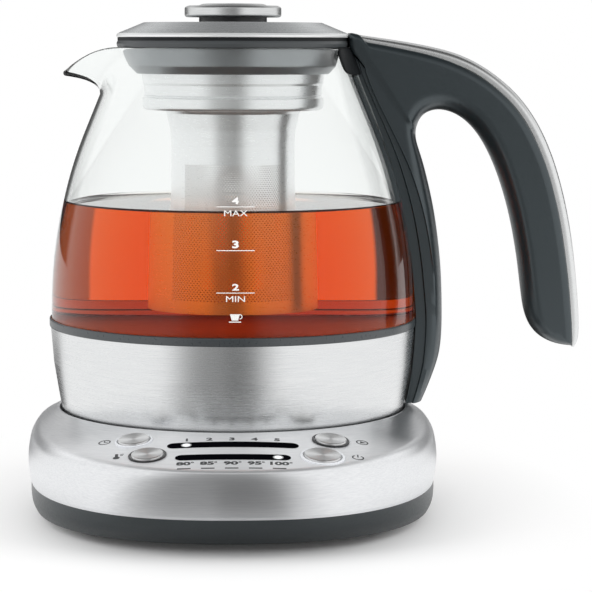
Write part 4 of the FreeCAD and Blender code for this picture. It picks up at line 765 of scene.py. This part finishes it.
def buildStrainer():
    # a field of holes in front and behind, and plain sheet above, below and beside them
    half = math.radians(basket["fieldAngle"]) / 2
    topZ, sheet = basket["fieldTopZ"], basket["sheet"]
    lowZ = topZ - basket["rowPitch"] * basket["rows"]
    front = buildField("strainer_holes_front", -math.pi / 2)
    buildField("strainer_holes_back", math.pi / 2)
    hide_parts("strainer")
    for name, low, high in (("strainer_top_band", topZ, basket["topZ"] + basket["topLap"]),
                            ("strainer_foot_band", basket["bottomZ"], lowZ)):
        heights = np.array([low, high])
        profile = np.stack([strainerRadius(heights), heights], 1)
        basketPiece(name, turned(np.vstack([profile, profile[::-1] - (sheet, 0)]), basket["bandColumns"]))
    for name, middle in (("strainer_side_left", math.pi), ("strainer_side_right", 0.0)):
        angles = middle + np.linspace(half - math.pi / 2, math.pi / 2 - half, basket["sideColumns"])
        rows = [onStrainer(angles, height, depth)
                for depth, height in ((0.0, lowZ), (0.0, topZ), (sheet, topZ), (sheet, lowZ))]
        basketPiece(name, np.array(rows), closeColumns=False)


buildCollar()
buildCup()
buildStrainer()
print("basket")

# Marks printed on the front of the glass

marks = {
    "x": 1.0, "lineHalf": 7.6, "lineWidth": 0.30, "proud": 0.12, "under": 0.005, "stretch": 1.35,
    "lines": (135.6, 118.5, 101.8),
    "words": (("4", 136.8, 2.4), ("MAX", 132.0, 2.3), ("3", 119.6, 2.7), ("2", 102.9, 2.4),
              ("MIN", 98.3, 2.3)),
    "digitStretch": 1.15, "digitWeight": 0.034,
    "cupZ": 90.4, "bowl": ((-2.2, 3.0), (-1.5, 0.5), (1.0, 0.5), (1.7, 3.0)),
    "ear": (1.75, 2.0, 1.0, 0.65, -100, 100), "saucer": (-2.6, -0.3, 2.2, 0.1), "capitalShare": 0.69,
}


def wordMesh(word, height, stretch, weight):
    # a word as flat triangles, centred across, standing on its base line; height is a capital's
    curve = bpy.data.curves.new("word", "FONT")
    curve.body = word
    curve.align_x = "CENTER"
    curve.offset = weight
    curve.resolution_u = 6
    holder = bpy.data.objects.new("word", curve)
    bpy.context.scene.collection.objects.link(holder)
    bpy.context.view_layer.update()
    flat = bpy.data.meshes.new_from_object(holder.evaluated_get(bpy.context.evaluated_depsgraph_get()))
    points = np.zeros(len(flat.vertices) * 3)
    flat.vertices.foreach_get("co", points)
    faces = [list(face.vertices) for face in flat.polygons]
    bpy.data.objects.remove(holder)
    bpy.data.curves.remove(curve)
    bpy.data.meshes.remove(flat)
    scale = height / marks["capitalShare"]
    return points.reshape(-1, 3)[:, :2] * (scale * stretch, scale), faces


def strip(first, second):
    # quads between two rows of as many flat points
    count = len(first)
    step = np.arange(count - 1)
    faces = np.stack([step, step + 1, step + count + 1, step + count], 1)
    return np.concatenate([first, second]), faces.tolist()


def bar(x0, y0, x1, y1, pieces=12):
    # a flat bar cut into short lengths so that it can follow a curved surface
    x = np.linspace(x0, x1, pieces + 1)
    return strip(*[np.stack([x, np.full_like(x, y)], 1) for y in (y0, y1)])


def ring(x, y, outerR, innerR, start=0.0, end=360.0, pieces=24):
    # a flat ring or part of one
    turn = np.radians(np.linspace(start, end, pieces + 1))
    around = np.stack([np.cos(turn), np.sin(turn)], 1)
    return strip(around * outerR + (x, y), around * innerR + (x, y))


def stadium(y, halfLength, halfWidth, pieces=40, endPieces=11):
    # a flat slot with round ends, as strips across its length: half width sqrt(r ^ 2 - beyond ^ 2)
    straight = halfLength - halfWidth
    turn = np.linspace(-math.pi / 2, math.pi / 2, endPieces)
    ends = straight + halfWidth * np.cos(turn)
    along = np.concatenate([-ends, ends, np.linspace(-1, 1, pieces) * straight])
    along = np.unique(np.round(along, 6))
    beyond = np.clip(np.abs(along) - straight, 0, halfWidth)
    wide = np.sqrt(np.maximum(halfWidth ** 2 - beyond ** 2, 1e-6))
    return strip(np.stack([along, y - wide], 1), np.stack([along, y + wide], 1))


def moved(shape, x, y):
    # a flat shape shifted by x and y
    return np.asarray(shape[0]) + (x, y), shape[1]


def thinPiece(name, shapes, place, lifts, body, material):
    # flat shapes joined into one thin plate: place lays its front and its reversed back on a surface
    faces, count = [], 0
    for points, someFaces in shapes:
        faces += [[index + count for index in face] for face in someFaces]
        count += len(points)
    flat = np.vstack([points for points, _ in shapes])
    back = [[index + count for index in reversed(face)] for face in faces]
    points = np.vstack([place(flat, lift) for lift in lifts])
    return meshPiece(name, points, faces + back, body, material)


def onGlass(flat, lift):
    # x becomes a length round the glass from its front, y a height
    surface = glassRadius(flat[:, 1])
    return polar(surface + lift, flat[:, 0] / surface - math.pi / 2, flat[:, 1])


def buildMarks():
    # lines, words and a small cup with its handle and saucer
    half = marks["lineWidth"] / 2
    shapes = [bar(-marks["lineHalf"], z - half, marks["lineHalf"], z + half) for z in marks["lines"]]
    for word, z, height in marks["words"]:
        digit = len(word) == 1
        stretch = marks["stretch"] * (marks["digitStretch"] if digit else 1.0)
        shapes.append(moved(wordMesh(word, height, stretch, marks["digitWeight"] if digit else 0.0), 0, z))
    cup = [(marks["bowl"], [[0, 1, 2, 3]]), ring(*marks["ear"]), bar(*marks["saucer"])]
    shapes += [moved(shape, 0, marks["cupZ"]) for shape in cup]
    thinPiece("level_marks", [moved(shape, marks["x"], 0) for shape in shapes], onGlass,
              (marks["proud"], marks["under"]), "jug", whiteInk)


# Base cover: rounded plan, side wall, softened shoulder, sloped top and the lip of the round seat

cover = {
    # levels: half width, front, back, height at the side, height in front
    "exponent": 2.35, "foot": (86.1, 108.0, 90.0, 16.5, 16.5), "shoulder": (83.0, 114.5, 85.5, 40.5, 37.2),
    # share of the way up, swelling at the sides and in front
    "bulge": ((0.0, 0.0, 0.0), (0.35, 2.1, 1.0), (0.68, 2.5, 1.4), (0.86, 1.9, 1.0), (1.0, 0.0, 0.0)),
    # the folded foot, in from the wall and up; the rim, out and up; the seat's lip, out and down
    "fold": ((1.2, 3.0), (1.2, 0.0), (0.35, 0.0), (0.08, 0.1), (0.0, 0.4)),
    "rim": ((0.2, -0.02), (-0.1, 0.0), (-0.4, -0.02)), "lip": ((0.15, 0.12), (0.0, 0.5)),
    "wallShares": np.linspace(0.03, 0.93, 20), "soften": 1.6, "softenShare": 0.6, "softenFrom": 0.945,
    "softenRows": 9, "panelRows": 14, "rimRound": 0.5,
    "rimR": 75.3, "rimZ": 45.4, "lipR": 74.3, "lipZ": 41.2, "segments": 288,
}
skirt = {
    "foot": (84.0, 92.0, 84.0, 3.5, 3.5), "top": (86.0, 107.9, 89.9, 16.6, 16.6),
    "bulge": ((0.0, 0.0, 0.0), (0.3, 1.0, 1.0), (0.65, 0.8, 0.8), (1.0, 0.0, 0.0)),
    "fold": ((3.0, 2.0), (3.0, 0.0), (1.0, 0.0), (0.25, 0.2)),
    "wallShares": np.linspace(0.05, 1.0, 14), "lap": 1.0,
}


def planRadius(angle, half, front, back):
    # distance from the axis to a rounded plan, |x / half| ^ n + |y / length| ^ n = 1
    length = np.where(np.sin(angle) < 0, front, back)
    total = (np.abs(np.cos(angle) / half) ** cover["exponent"]
             + np.abs(np.sin(angle) / length) ** cover["exponent"])
    return total ** (-1 / cover["exponent"])


def planHeight(angle, radius, front, sideZ, frontZ):
    # height of a level that dips towards the front, by the square of how far forward it is
    return sideZ + (frontZ - sideZ) * np.maximum(0, -radius * np.sin(angle) / front) ** 2


def wallPoint(angle, share, foot, top, bulges):
    # radius and height of a side wall at a share of the way up; a smooth curve goes through the swellings
    table = np.array(bulges)
    shares, swelling = table[:, 0], table[:, 1:]
    slopes = np.gradient(swelling, shares, axis=0)
    span = int(np.clip(np.searchsorted(shares, share, side="right") - 1, 0, len(table) - 2))
    length = shares[span + 1] - shares[span]
    side, front = cubic((share - shares[span]) / length, length, swelling[span], slopes[span],
                        swelling[span + 1], slopes[span + 1])
    half, forward, back, sideZ, frontZ = np.array(foot) + (np.array(top) - np.array(foot)) * share
    radius = planRadius(angle, half + side, forward + front, back + front)
    return radius, planHeight(angle, radius, forward + front, sideZ, frontZ)


def shoulderPoint(angle):
    # radius and height of the line where wall and panel would meet if it were sharp
    half, front, back, sideZ, frontZ = cover["shoulder"]
    radius = planRadius(angle, half, front, back)
    return radius, planHeight(angle, radius, front, sideZ, frontZ)


def onPanel(flat, lift):
    # x and y stay; the height is that of the straight line from the rim to the shoulder at that bearing
    edgeR, edgeZ = shoulderPoint(np.arctan2(flat[:, 1], flat[:, 0]))
    slope = (cover["rimZ"] - edgeZ) / (edgeR - cover["rimR"])
    height = cover["rimZ"] - (np.hypot(flat[:, 0], flat[:, 1]) - cover["rimR"]) * slope
    return np.stack([flat[:, 0], flat[:, 1], height + lift], 1)


def buildCover():
    # rows up from the folded foot: the wall, the softened shoulder, the panel, the rim and the seat's lip
    angle = fullTurn(cover["segments"])
    rimR, rimZ, lipR = cover["rimR"], cover["rimZ"], cover["lipR"]
    wall = (cover["foot"], cover["shoulder"], cover["bulge"])
    footR, footZ = wallPoint(angle, 0.0, *wall)
    rows = [(footR - inward, footZ + up) for inward, up in cover["fold"]]
    rows += [wallPoint(angle, share, *wall) for share in cover["wallShares"]]
    edgeR, edgeZ = shoulderPoint(angle)
    slope = (rimZ - edgeZ) / (edgeR - rimR)
    soften = np.minimum(cover["soften"], cover["softenShare"] * (edgeR - rimR))
    low = wallPoint(angle, cover["softenFrom"], *wall)
    high = (edgeR - soften, edgeZ + soften * slope)
    rows += [tuple(bent(t, *ends) for ends in zip(low, (edgeR, edgeZ), high))
             for t in np.linspace(0, 1, cover["softenRows"])]
    for share in np.linspace(0, 1, cover["panelRows"])[1:]:
        radius = high[0] + (rimR + cover["rimRound"] - high[0]) * share
        rows.append((radius, rimZ - (radius - rimR) * slope))
    rows += [(rimR + out, rimZ + up) for out, up in cover["rim"]]
    rows += [(lipR + out, rimZ - down) for out, down in cover["lip"]] + [(lipR, cover["lipZ"])]
    grid = np.array([polar(radius, angle, height) for radius, height in rows])
    piece = gridPiece("cover_shell", grid, "base", coverSteel, "brushed_steel")
    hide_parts("base_cover")


def buildSkirt():
    # rows up from the folded foot, and a lap that turns in under the cover
    angle = fullTurn(cover["segments"])
    wall = (skirt["foot"], skirt["top"], skirt["bulge"])
    footR, footZ = wallPoint(angle, 0.0, *wall)
    rows = [(footR - inward, footZ + up) for inward, up in skirt["fold"]]
    rows += [wallPoint(angle, share, *wall) for share in skirt["wallShares"]]
    rows.append((rows[-1][0] - skirt["lap"], rows[-1][1]))
    grid = np.array([polar(radius, angle, height) for radius, height in rows])
    piece = gridPiece("skirt_wall", grid, "base", skirtSlate, "slate_plastic")
    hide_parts("base_skirt")


# Control panel: print, dark slots with lit lamps, rings and spun caps

panel = {
    "lifts": (0.05, 0.005), "lensLifts": (0.06, -0.3), "stretch": 1.3,
    "digitY": -82.9, "digitX": 8.95, "digitHeight": 2.6, "digitWeight": 0.036, "digitShift": -0.4,
    "degreeY": -107.6, "degreeX": 9.2, "degreeHeight": 2.9, "degreeWeight": 0.042, "degreeShift": -0.8,
    "degreeStep": 5, "degreeMiddle": 90, "degreeRing": (0.4, 2.4, 0.6, 0.28), "ringPieces": 12,
    "tickX": -0.5, "tickY": -111.2, "tickHalf": (2.6, 0.45),
    "slots": {"time_window": (-87.3, 26.0, 2.85), "temperature_window": (-100.1, 22.6, 2.85)},
    "lamps": {"lamp_time": (-18.4, -87.3), "lamp_degree": (17.6, -100.1)},
    "lampR": 2.2, "lampLift": 0.10, "lampPieces": 24, "glow": (0.0009, 0.0021), "glowStrength": 1.4,
    "coneSlope": 0.2092,
}
# the sign beside each button: where it stands and its flat shapes
signs = {
    "clock": ((-51.2, -76.2), [ring(0, 0, 2.5, 1.95), bar(-0.25, 0, 0.25, 1.6, 1),
                               bar(0, -0.25, 1.3, 0.25, 1)]),
    "thermometer": ((-45.6, -94.0), [ring(0, -1.5, 1.35, 0.0), bar(-0.6, -1.0, 0.6, 2.6, 1),
                                     bar(1.4, 1.7, 2.9, 2.2, 1), bar(1.4, 0.4, 2.5, 0.9, 1)]),
    "arrow": ((51.6, -76.6), [ring(0, 0, 2.5, 1.95), (((-0.8, -1.3), (1.4, 0), (-0.8, 1.3)), [[0, 1, 2]])]),
    "power": ((49.0, -94.6), [ring(0, 0, 2.4, 1.85, 125, 415), bar(-0.27, 0.3, 0.27, 3.0, 1)]),
}
buttons = {
    # middle x, y, the cap's radius and the ring's wall, material and slot
    "steep_time_button": (-39.4, -78.6, 6.4, 0.85, lightRing, "light_ring"),
    "temperature_button": (-33.4, -96.0, 6.4, 0.85, bezelPlastic, "bezel_plastic"),
    "timer_button": (38.9, -79.0, 6.4, 0.85, bezelPlastic, "bezel_plastic"),
    "start_button": (35.0, -97.0, 7.4, 1.15, lightRing, "light_ring"),
}
# the cap: its middle, then heights at shares of its radius, then heights at distances in from its edge
cap = {
    "middle": (0.15, 0.92), "dish": ((0.25, 0.95), (0.5, 1.02), (0.75, 1.13)),
    "edge": ((0.75, 1.24), (0.55, 1.26), (0.3, 1.20), (0.1, 1.02), (0.0, 0.76), (0.0, 0.1), (0.0, -1.2)),
}
bezel = {"gap": 0.30, "proud": 0.6, "foot": -0.4, "shoulder": 0.15, "round": 0.18}


def buildSlots():
    # a thin lens in each slot
    for node, slot in panel["slots"].items():
        lens = thinPiece(node + "_lens", [stadium(*slot)], onPanel, panel["lensLifts"], "base", windowLens)
        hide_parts(node)


def buildPrint():
    # the digits, the degrees with their small rings, the ticks under them and a mark beside each button
    shapes = []
    tickX, tickY = panel["tickHalf"]
    for place in range(-2, 3):
        digit = wordMesh(str(place + 3), panel["digitHeight"], panel["stretch"], panel["digitWeight"])
        shapes.append(moved(digit, place * panel["digitX"] + panel["digitShift"], panel["digitY"]))
        degree = wordMesh(str(panel["degreeMiddle"] + panel["degreeStep"] * place), panel["degreeHeight"],
                          panel["stretch"], panel["degreeWeight"])
        x = place * panel["degreeX"]
        shapes.append(moved(degree, x + panel["degreeShift"], panel["degreeY"]))
        edge = x + panel["tickX"] + degree[0][:, 0].max()
        degreeRing = ring(*panel["degreeRing"], pieces=panel["ringPieces"])
        shapes.append(moved(degreeRing, edge, panel["degreeY"]))
        shapes.append(moved(bar(-tickX, -tickY, tickX, tickY), x + panel["tickX"], panel["tickY"]))
    for spot, parts in signs.values():
        shapes += [moved(part, *spot) for part in parts]
    thinPiece("panel_print", shapes, onPanel, panel["lifts"], "base", darkInk)


def buildLamps():
    # a disc whose glow falls from its middle to nothing
    count = panel["lampPieces"]
    turn, step = fullTurn(count), np.arange(count)
    for name, spot in panel["lamps"].items():
        flat = np.stack([np.cos(turn), np.sin(turn)], 1) * panel["lampR"] + spot
        points = onPanel(np.vstack([flat, spot]), panel["lampLift"])
        faces = np.stack([step, (step + 1) % count, np.full(count, count)], 1)
        glow, tree, shader = newMaterial(name + "_glow", (0.004, 0.004, 0.005), 0.1,
                                         Emission_Color=(0.95, 0.98, 1.0, 1))
        away = vectorMath(tree, "DISTANCE", objectPlace(tree), tuple(points[-1] * mm))
        strength = ramp(tree, away, *panel["glow"], panel["glowStrength"], 0.0)
        feed(tree, shader.inputs["Emission Strength"], strength)
        meshPiece(name, points, faces, "base", glow)


def turnedOnPanel(outline, x, y, segments=72):
    # an outline of distance and height turned round the panel's normal at one spot
    radius = math.hypot(x, y)
    slope = panel["coneSlope"]
    normal = np.array([slope * x / radius, slope * y / radius, 1.0])
    normal /= np.linalg.norm(normal)
    across = np.cross((0.0, 1.0, 0.0), normal)
    across /= np.linalg.norm(across)
    along = np.cross(normal, across)
    centre = np.array([x, y, cover["rimZ"] - (radius - cover["rimR"]) * slope])
    turn = fullTurn(segments)
    table = np.array(outline)
    return (centre + table[:, 1][:, None, None] * normal
            + table[:, 0][:, None, None] * (np.cos(turn)[:, None] * across + np.sin(turn)[:, None] * along))


def spunCap(name, grid):
    # the cap carries a map of distance from its middle and angle, which gives the metal its spun sheen
    rows, columns = grid.shape[:2]
    piece = gridPiece(name + "_face", grid, name, buttonMetal, "button_metal", poles=("last",))
    layer = piece.data.uv_layers.new(name="Spin")
    loops = np.zeros(len(piece.data.loops), np.int32)
    piece.data.loops.foreach_get("vertex_index", loops)
    corners = [len(face.vertices) for face in piece.data.polygons]
    polygon = np.repeat(np.arange(len(corners)), corners)
    column = np.where(loops < rows * columns, loops % columns, 0).astype(float)
    first = (polygon % columns).astype(float)
    column = np.where(column < first - 1, column + columns, column)
    column = np.where(loops == rows * columns, first + 0.5, column)
    row = np.where(loops < rows * columns, loops // columns, rows)
    layer.data.foreach_set("uv", np.stack([row / rows, column / columns], 1).ravel())
    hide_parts(name)


def buildButtons():
    # a shallow dish, its edge rounded over, on a short skirt; round it a thin ring
    for name, (x, y, capR, wall, material, slot) in buttons.items():
        outline = [cap["middle"]] + [(share * capR, z) for share, z in cap["dish"]]
        outline += [(capR - inward, z) for inward, z in cap["edge"]]
        spunCap(name, turnedOnPanel(outline[::-1], x, y))
        inner = capR + bezel["gap"]
        outer, foot, top = inner + wall, bezel["foot"], bezel["proud"]
        shoulder, corner = top - bezel["shoulder"], bezel["round"]
        loop = [(outer, foot), (outer, shoulder), (outer - corner, top),
                (inner + corner, top), (inner, shoulder), (inner, foot)]
        collar = gridPiece(name + "_ring", turnedOnPanel(loop, x, y), "base", material, slot, closeRows=True)
        if name == "start_button":
            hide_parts("start_light_ring")
        elif name == "timer_button":
            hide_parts("button_bezels")


buildMarks()
buildCover()
buildSkirt()
buildSlots()
buildPrint()
buildLamps()
buildButtons()
print("base cover and panel")

# Lid, seal and knob, all turned

lid = {
    "cover": [(0.5, 208.85, 0), (37.8, 208.85, 1.6), (48.8, 204.3, 0.15), (48.3, 204.1, 0)],
    "rim": [(47.6, 204.25, 0), (48.8, 204.33, 0.25), (49.45, 203.5, 0.3), (49.3, 202.6, 0.3),
            (47.6, 202.6, 0)],
    "shade": [(48.9, 202.75), (48.9, 201.2)],
    "seal": [(44.0, 201.45, 0.3), (48.8, 201.45, 0.9), (49.35, 200.0, 1.0), (48.9, 198.15, 0.9),
             (44.0, 198.05, 0.3)],
    "cap": [(0.4, 217.05, 0), (13.0, 216.75, 6.0), (14.6, 216.0, 0.5), (18.9, 215.95, 0.5),
            (20.5, 215.2, 0.9), (20.5, 211.5, 0.9), (19.4, 211.1, 0.3), (14.0, 211.1, 0)],
    "segments": 192, "capSegments": 128,
}


def buildLid():
    # turned sections, from the cover to the knob
    skin = turnedPiece("lid_skin", lid["cover"], "lid", lidSteel, "lid_steel", lid["segments"],
                       poles=("last",))
    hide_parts("lid_cover")
    # the rim in the lighter copy of the lid steel, a painted highlight
    turnedPiece("lid_rim", lid["rim"], "lid", rimSteelLit, "lid_steel", lid["segments"])
    # a black ring in the gap between the lid's rim and the seal: painted shade
    gridPiece("lid_gap_shade", turned(np.array(lid["shade"])), "lid", padPlastic, "black_plastic")
    seal = turnedPiece("seal_ring", lid["seal"], "basket", silicone, "silicone", lid["segments"], closed=True)
    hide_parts("basket_seal")
    knob = turnedPiece("knob_top", lid["cap"], "lid", knobSteel, "lid_steel", lid["capSegments"],
                       poles=("last",))
    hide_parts("knob_cap")


buildLid()
print("lid")

# Stage: pale floor, soft lamps, white surroundings and the camera. A zone is a bearing from the front and
# two cosines between which it sets in, and a card is a bearing, a half width in degrees and a depth. A
# depth is the share of the light that is taken away

view = {
    "place": (0.0, -0.980, 0.19992), "yaw": 1.5834, "pitch": 6.272, "roll": 0.173, "lens": 139.43,
    "sensor": 36.0, "clip": (0.05, 20.0),
}
light = {
    "surround": 0.75, "bright": 1.04, "floorSize": 4.0, "floorGlow": 0.03,
    "fadeStart": 0.115, "fadeEnd": 0.27, "fadeAcross": 1.7, "nearStart": 0.10, "nearEnd": 0.125,
    "front": (-6.0, 0.83, 0.998), "frontDepth": 0.72, "line": (5.0, 0.984, 0.994), "lineDepth": 0.40,
    "back": (180.0, 0.62, 0.72), "backDepth": 0.96, "backLift": (0.10, 0.45), "backAway": (0.35, 0.8),
    "edge": (180.0, 0.90, 0.95), "edgeDepth": 0.80, "overLift": (0.35, 0.80), "overDepth": 0.90,
    "farGap": 0.93, "highGap": 0.15, "gapAway": (0.30, 1.0), "gapLift": (0.12, 0.36),
    "cards": ((-123.0, 33.0, 0.93), (125.0, 31.0, 0.58)), "cardSoft": 2.0,
    "lamps": {"leftLamp": (-1.6, 21.0), "rightLamp": (1.6, 18.0)}, "lampSize": (1.2, 1.7),
    "lampPlace": (-0.7, 1.15), "lampTarget": (0, 0, 0.1),
}


def areaLamp(name, x, power):
    # metal and glass don't see it: they mirror the surroundings instead
    lamp = bpy.data.lights.new(name, "AREA")
    lamp.shape = "RECTANGLE"
    lamp.size, lamp.size_y = light["lampSize"]
    lamp.energy = power
    holder = bpy.data.objects.new(name, lamp)
    bpy.context.scene.collection.objects.link(holder)
    holder.location = (x, *light["lampPlace"])
    aim = Vector(light["lampTarget"]) - holder.location
    holder.rotation_euler = aim.to_track_quat("-Z", "Y").to_euler()
    holder.visible_glossy = False
    holder.visible_transmission = False


def dip(tree, flatDirection, turn, low, high):
    # how near a level direction is to one bearing, 0 to 1, measured from the front
    angle = math.radians(turn)
    dot = vectorMath(tree, "DOT_PRODUCT", flatDirection, (math.sin(angle), -math.cos(angle), 0))
    return ramp(tree, dot, low, high, 0.0, 1.0, curve="SMOOTHSTEP")


def dimmed(tree, value, share, depth):
    # value * (1 - share * depth)
    return product(tree, value, mathNode(tree, "SUBTRACT", 1.0, product(tree, share, depth)))


def reflectedRay(tree, path):
    # 1 for what metal or glass sends on
    return mathNode(tree, "MAXIMUM", path["Is Glossy Ray"], path["Is Transmission Ray"])


def straightThrough(tree, path):
    # 1 for a sight line that came through glass and met no mirror or dull surface before; depths are
    # whole numbers, so a half parts them
    bounces = mathNode(tree, "ADD", path["Glossy Depth"], path["Diffuse Depth"])
    return product(tree, path["Is Transmission Ray"], mathNode(tree, "LESS_THAN", bounces, 0.5))


def wallEdge(tree, path):
    # 1 for what has gone in and out of a glass wall's edge, mirrored inside the wall on its way
    once = mathNode(tree, "GREATER_THAN", path["Glossy Depth"], 0.5)
    few = mathNode(tree, "LESS_THAN", path["Transmission Depth"], 2.5)
    return product(tree, once, few, path["Is Transmission Ray"])


def studioLevel(tree, path, vector, lift, gap, dark):
    # brightness seen by bearing: white, with a soft dark gap in front, as deep as gap, and a thin line;
    # metal also sees a dark zone low behind, as strong as dark, glass a dark card on either side, and the
    # edge of a glass wall a dark strip behind. All of it darkens overhead
    flat = vectorMath(tree, "NORMALIZE", vectorMath(tree, "MULTIPLY", vector, (1, 1, 0)))
    front = product(tree, dip(tree, flat, *light["front"]), gap)
    value = dimmed(tree, light["bright"], front, light["frontDepth"])
    value = dimmed(tree, value, dip(tree, flat, *light["line"]), light["lineDepth"])
    mirrored = product(tree, path["Is Glossy Ray"],
                       mathNode(tree, "SUBTRACT", 1.0, path["Is Transmission Ray"]))
    below = ramp(tree, lift, *light["backLift"], 1.0, 0.0)
    back = product(tree, dip(tree, flat, *light["back"]), below, mirrored, dark)
    value = dimmed(tree, value, back, light["backDepth"])
    edge = product(tree, dip(tree, flat, *light["edge"]), wallEdge(tree, path))
    value = dimmed(tree, value, edge, light["edgeDepth"])
    through = straightThrough(tree, path)
    for turn, halfWidth, depth in light["cards"]:
        low, high = [math.cos(math.radians(halfWidth + soft)) for soft in (light["cardSoft"], 0.0)]
        value = dimmed(tree, value, product(tree, dip(tree, flat, turn, low, high), through), depth)
    return product(tree, value, ramp(tree, lift, *light["overLift"], 1.0, 1.0 - light["overDepth"]))


def buildFloor():
    # the camera sees it with a little glow, turning into the white behind; metal and glass see the same
    # bearings in it as in the surroundings
    size = light["floorSize"]
    mesh = bpy.data.meshes.new("floor")
    corners = [(-size, -size, 0), (size, -size, 0), (size, size, 0), (-size, size, 0)]
    mesh.from_pydata(corners, [], [(0, 1, 2, 3)])
    floor = bpy.data.objects.new("floor", mesh)
    bpy.context.scene.collection.objects.link(floor)
    material, tree, shader = newMaterial("paleFloor", (0.93, 0.93, 0.93), 0.6, Specular_IOR_Level=0.1)
    mesh.materials.append(material)
    path, place = addNode(tree, "LightPath").outputs, objectPlace(tree)
    away = vectorMath(tree, "LENGTH", place)
    spread = vectorMath(tree, "LENGTH", vectorMath(tree, "MULTIPLY", place, (light["fadeAcross"], 1.0, 1.0)))
    glow = addNode(tree, "Emission", Strength=light["floorGlow"])
    lit = addNode(tree, "AddShader", shader.outputs[0], glow.outputs[0])
    white = addNode(tree, "Emission", Strength=1.0)
    fade = ramp(tree, spread, light["fadeStart"], light["fadeEnd"], 0.0, 1.0)
    faded = mixShader(tree, fade, lit.outputs[0], white.outputs[0])
    seen = mixShader(tree, path["Is Camera Ray"], shader.outputs[0], faded)
    gap = ramp(tree, away, *light["gapAway"], 1.0, light["farGap"])
    dark = ramp(tree, away, *light["backAway"], 1.0, 0.0)
    mirror = addNode(tree, "Emission", Strength=studioLevel(tree, path, place, 0.0, gap, dark))
    near = ramp(tree, away, light["nearStart"], light["nearEnd"], 0.0, 1.0)
    last = mixShader(tree, product(tree, near, reflectedRay(tree, path)), seen, mirror.outputs[0])
    feed(tree, tree.nodes["Material Output"].inputs["Surface"], last)


def buildWorld():
    # the camera sees white, dull surfaces an even grey, and metal and glass the studio
    world = bpy.data.worlds.new("studio")
    bpy.context.scene.world = world
    world.use_nodes = True
    tree = world.node_tree
    path, place = addNode(tree, "LightPath").outputs, objectPlace(tree)
    lift = addNode(tree, "SeparateXYZ", place).outputs["Z"]
    gap = ramp(tree, lift, *light["gapLift"], light["farGap"], light["highGap"])
    studio = studioLevel(tree, path, place, lift, gap, 1.0)
    plain = ramp(tree, path["Is Camera Ray"], 0, 1, light["surround"], 1.0)
    mix = addNode(tree, "Mix", reflectedRay(tree, path), data_type="FLOAT", A=plain, B=studio)
    fill(tree, tree.nodes["Background"], {"Color": (1, 1, 1, 1), "Strength": mix.outputs["Result"]})


def buildCamera():
    # turned by yaw, tilted down by pitch, then rolled about its own sight line
    data = bpy.data.cameras.new("camera")
    data.lens, data.sensor_width = view["lens"], view["sensor"]
    data.clip_start, data.clip_end = view["clip"]
    camera = bpy.data.objects.new("camera", data)
    bpy.context.scene.collection.objects.link(camera)
    turn = Euler((math.radians(90 - view["pitch"]), 0, -math.radians(view["yaw"])), "XYZ").to_matrix()
    turn = turn @ Matrix.Rotation(math.radians(view["roll"]), 3, "Z")
    camera.rotation_euler = turn.to_euler()
    camera.location = view["place"]
    bpy.context.scene.camera = camera


bpy.context.scene.view_settings.view_transform = "Standard"
buildFloor()
buildWorld()
for lampName, (lampX, lampPower) in light["lamps"].items():
    areaLamp(lampName, lampX, lampPower)
buildCamera()
print("stage")
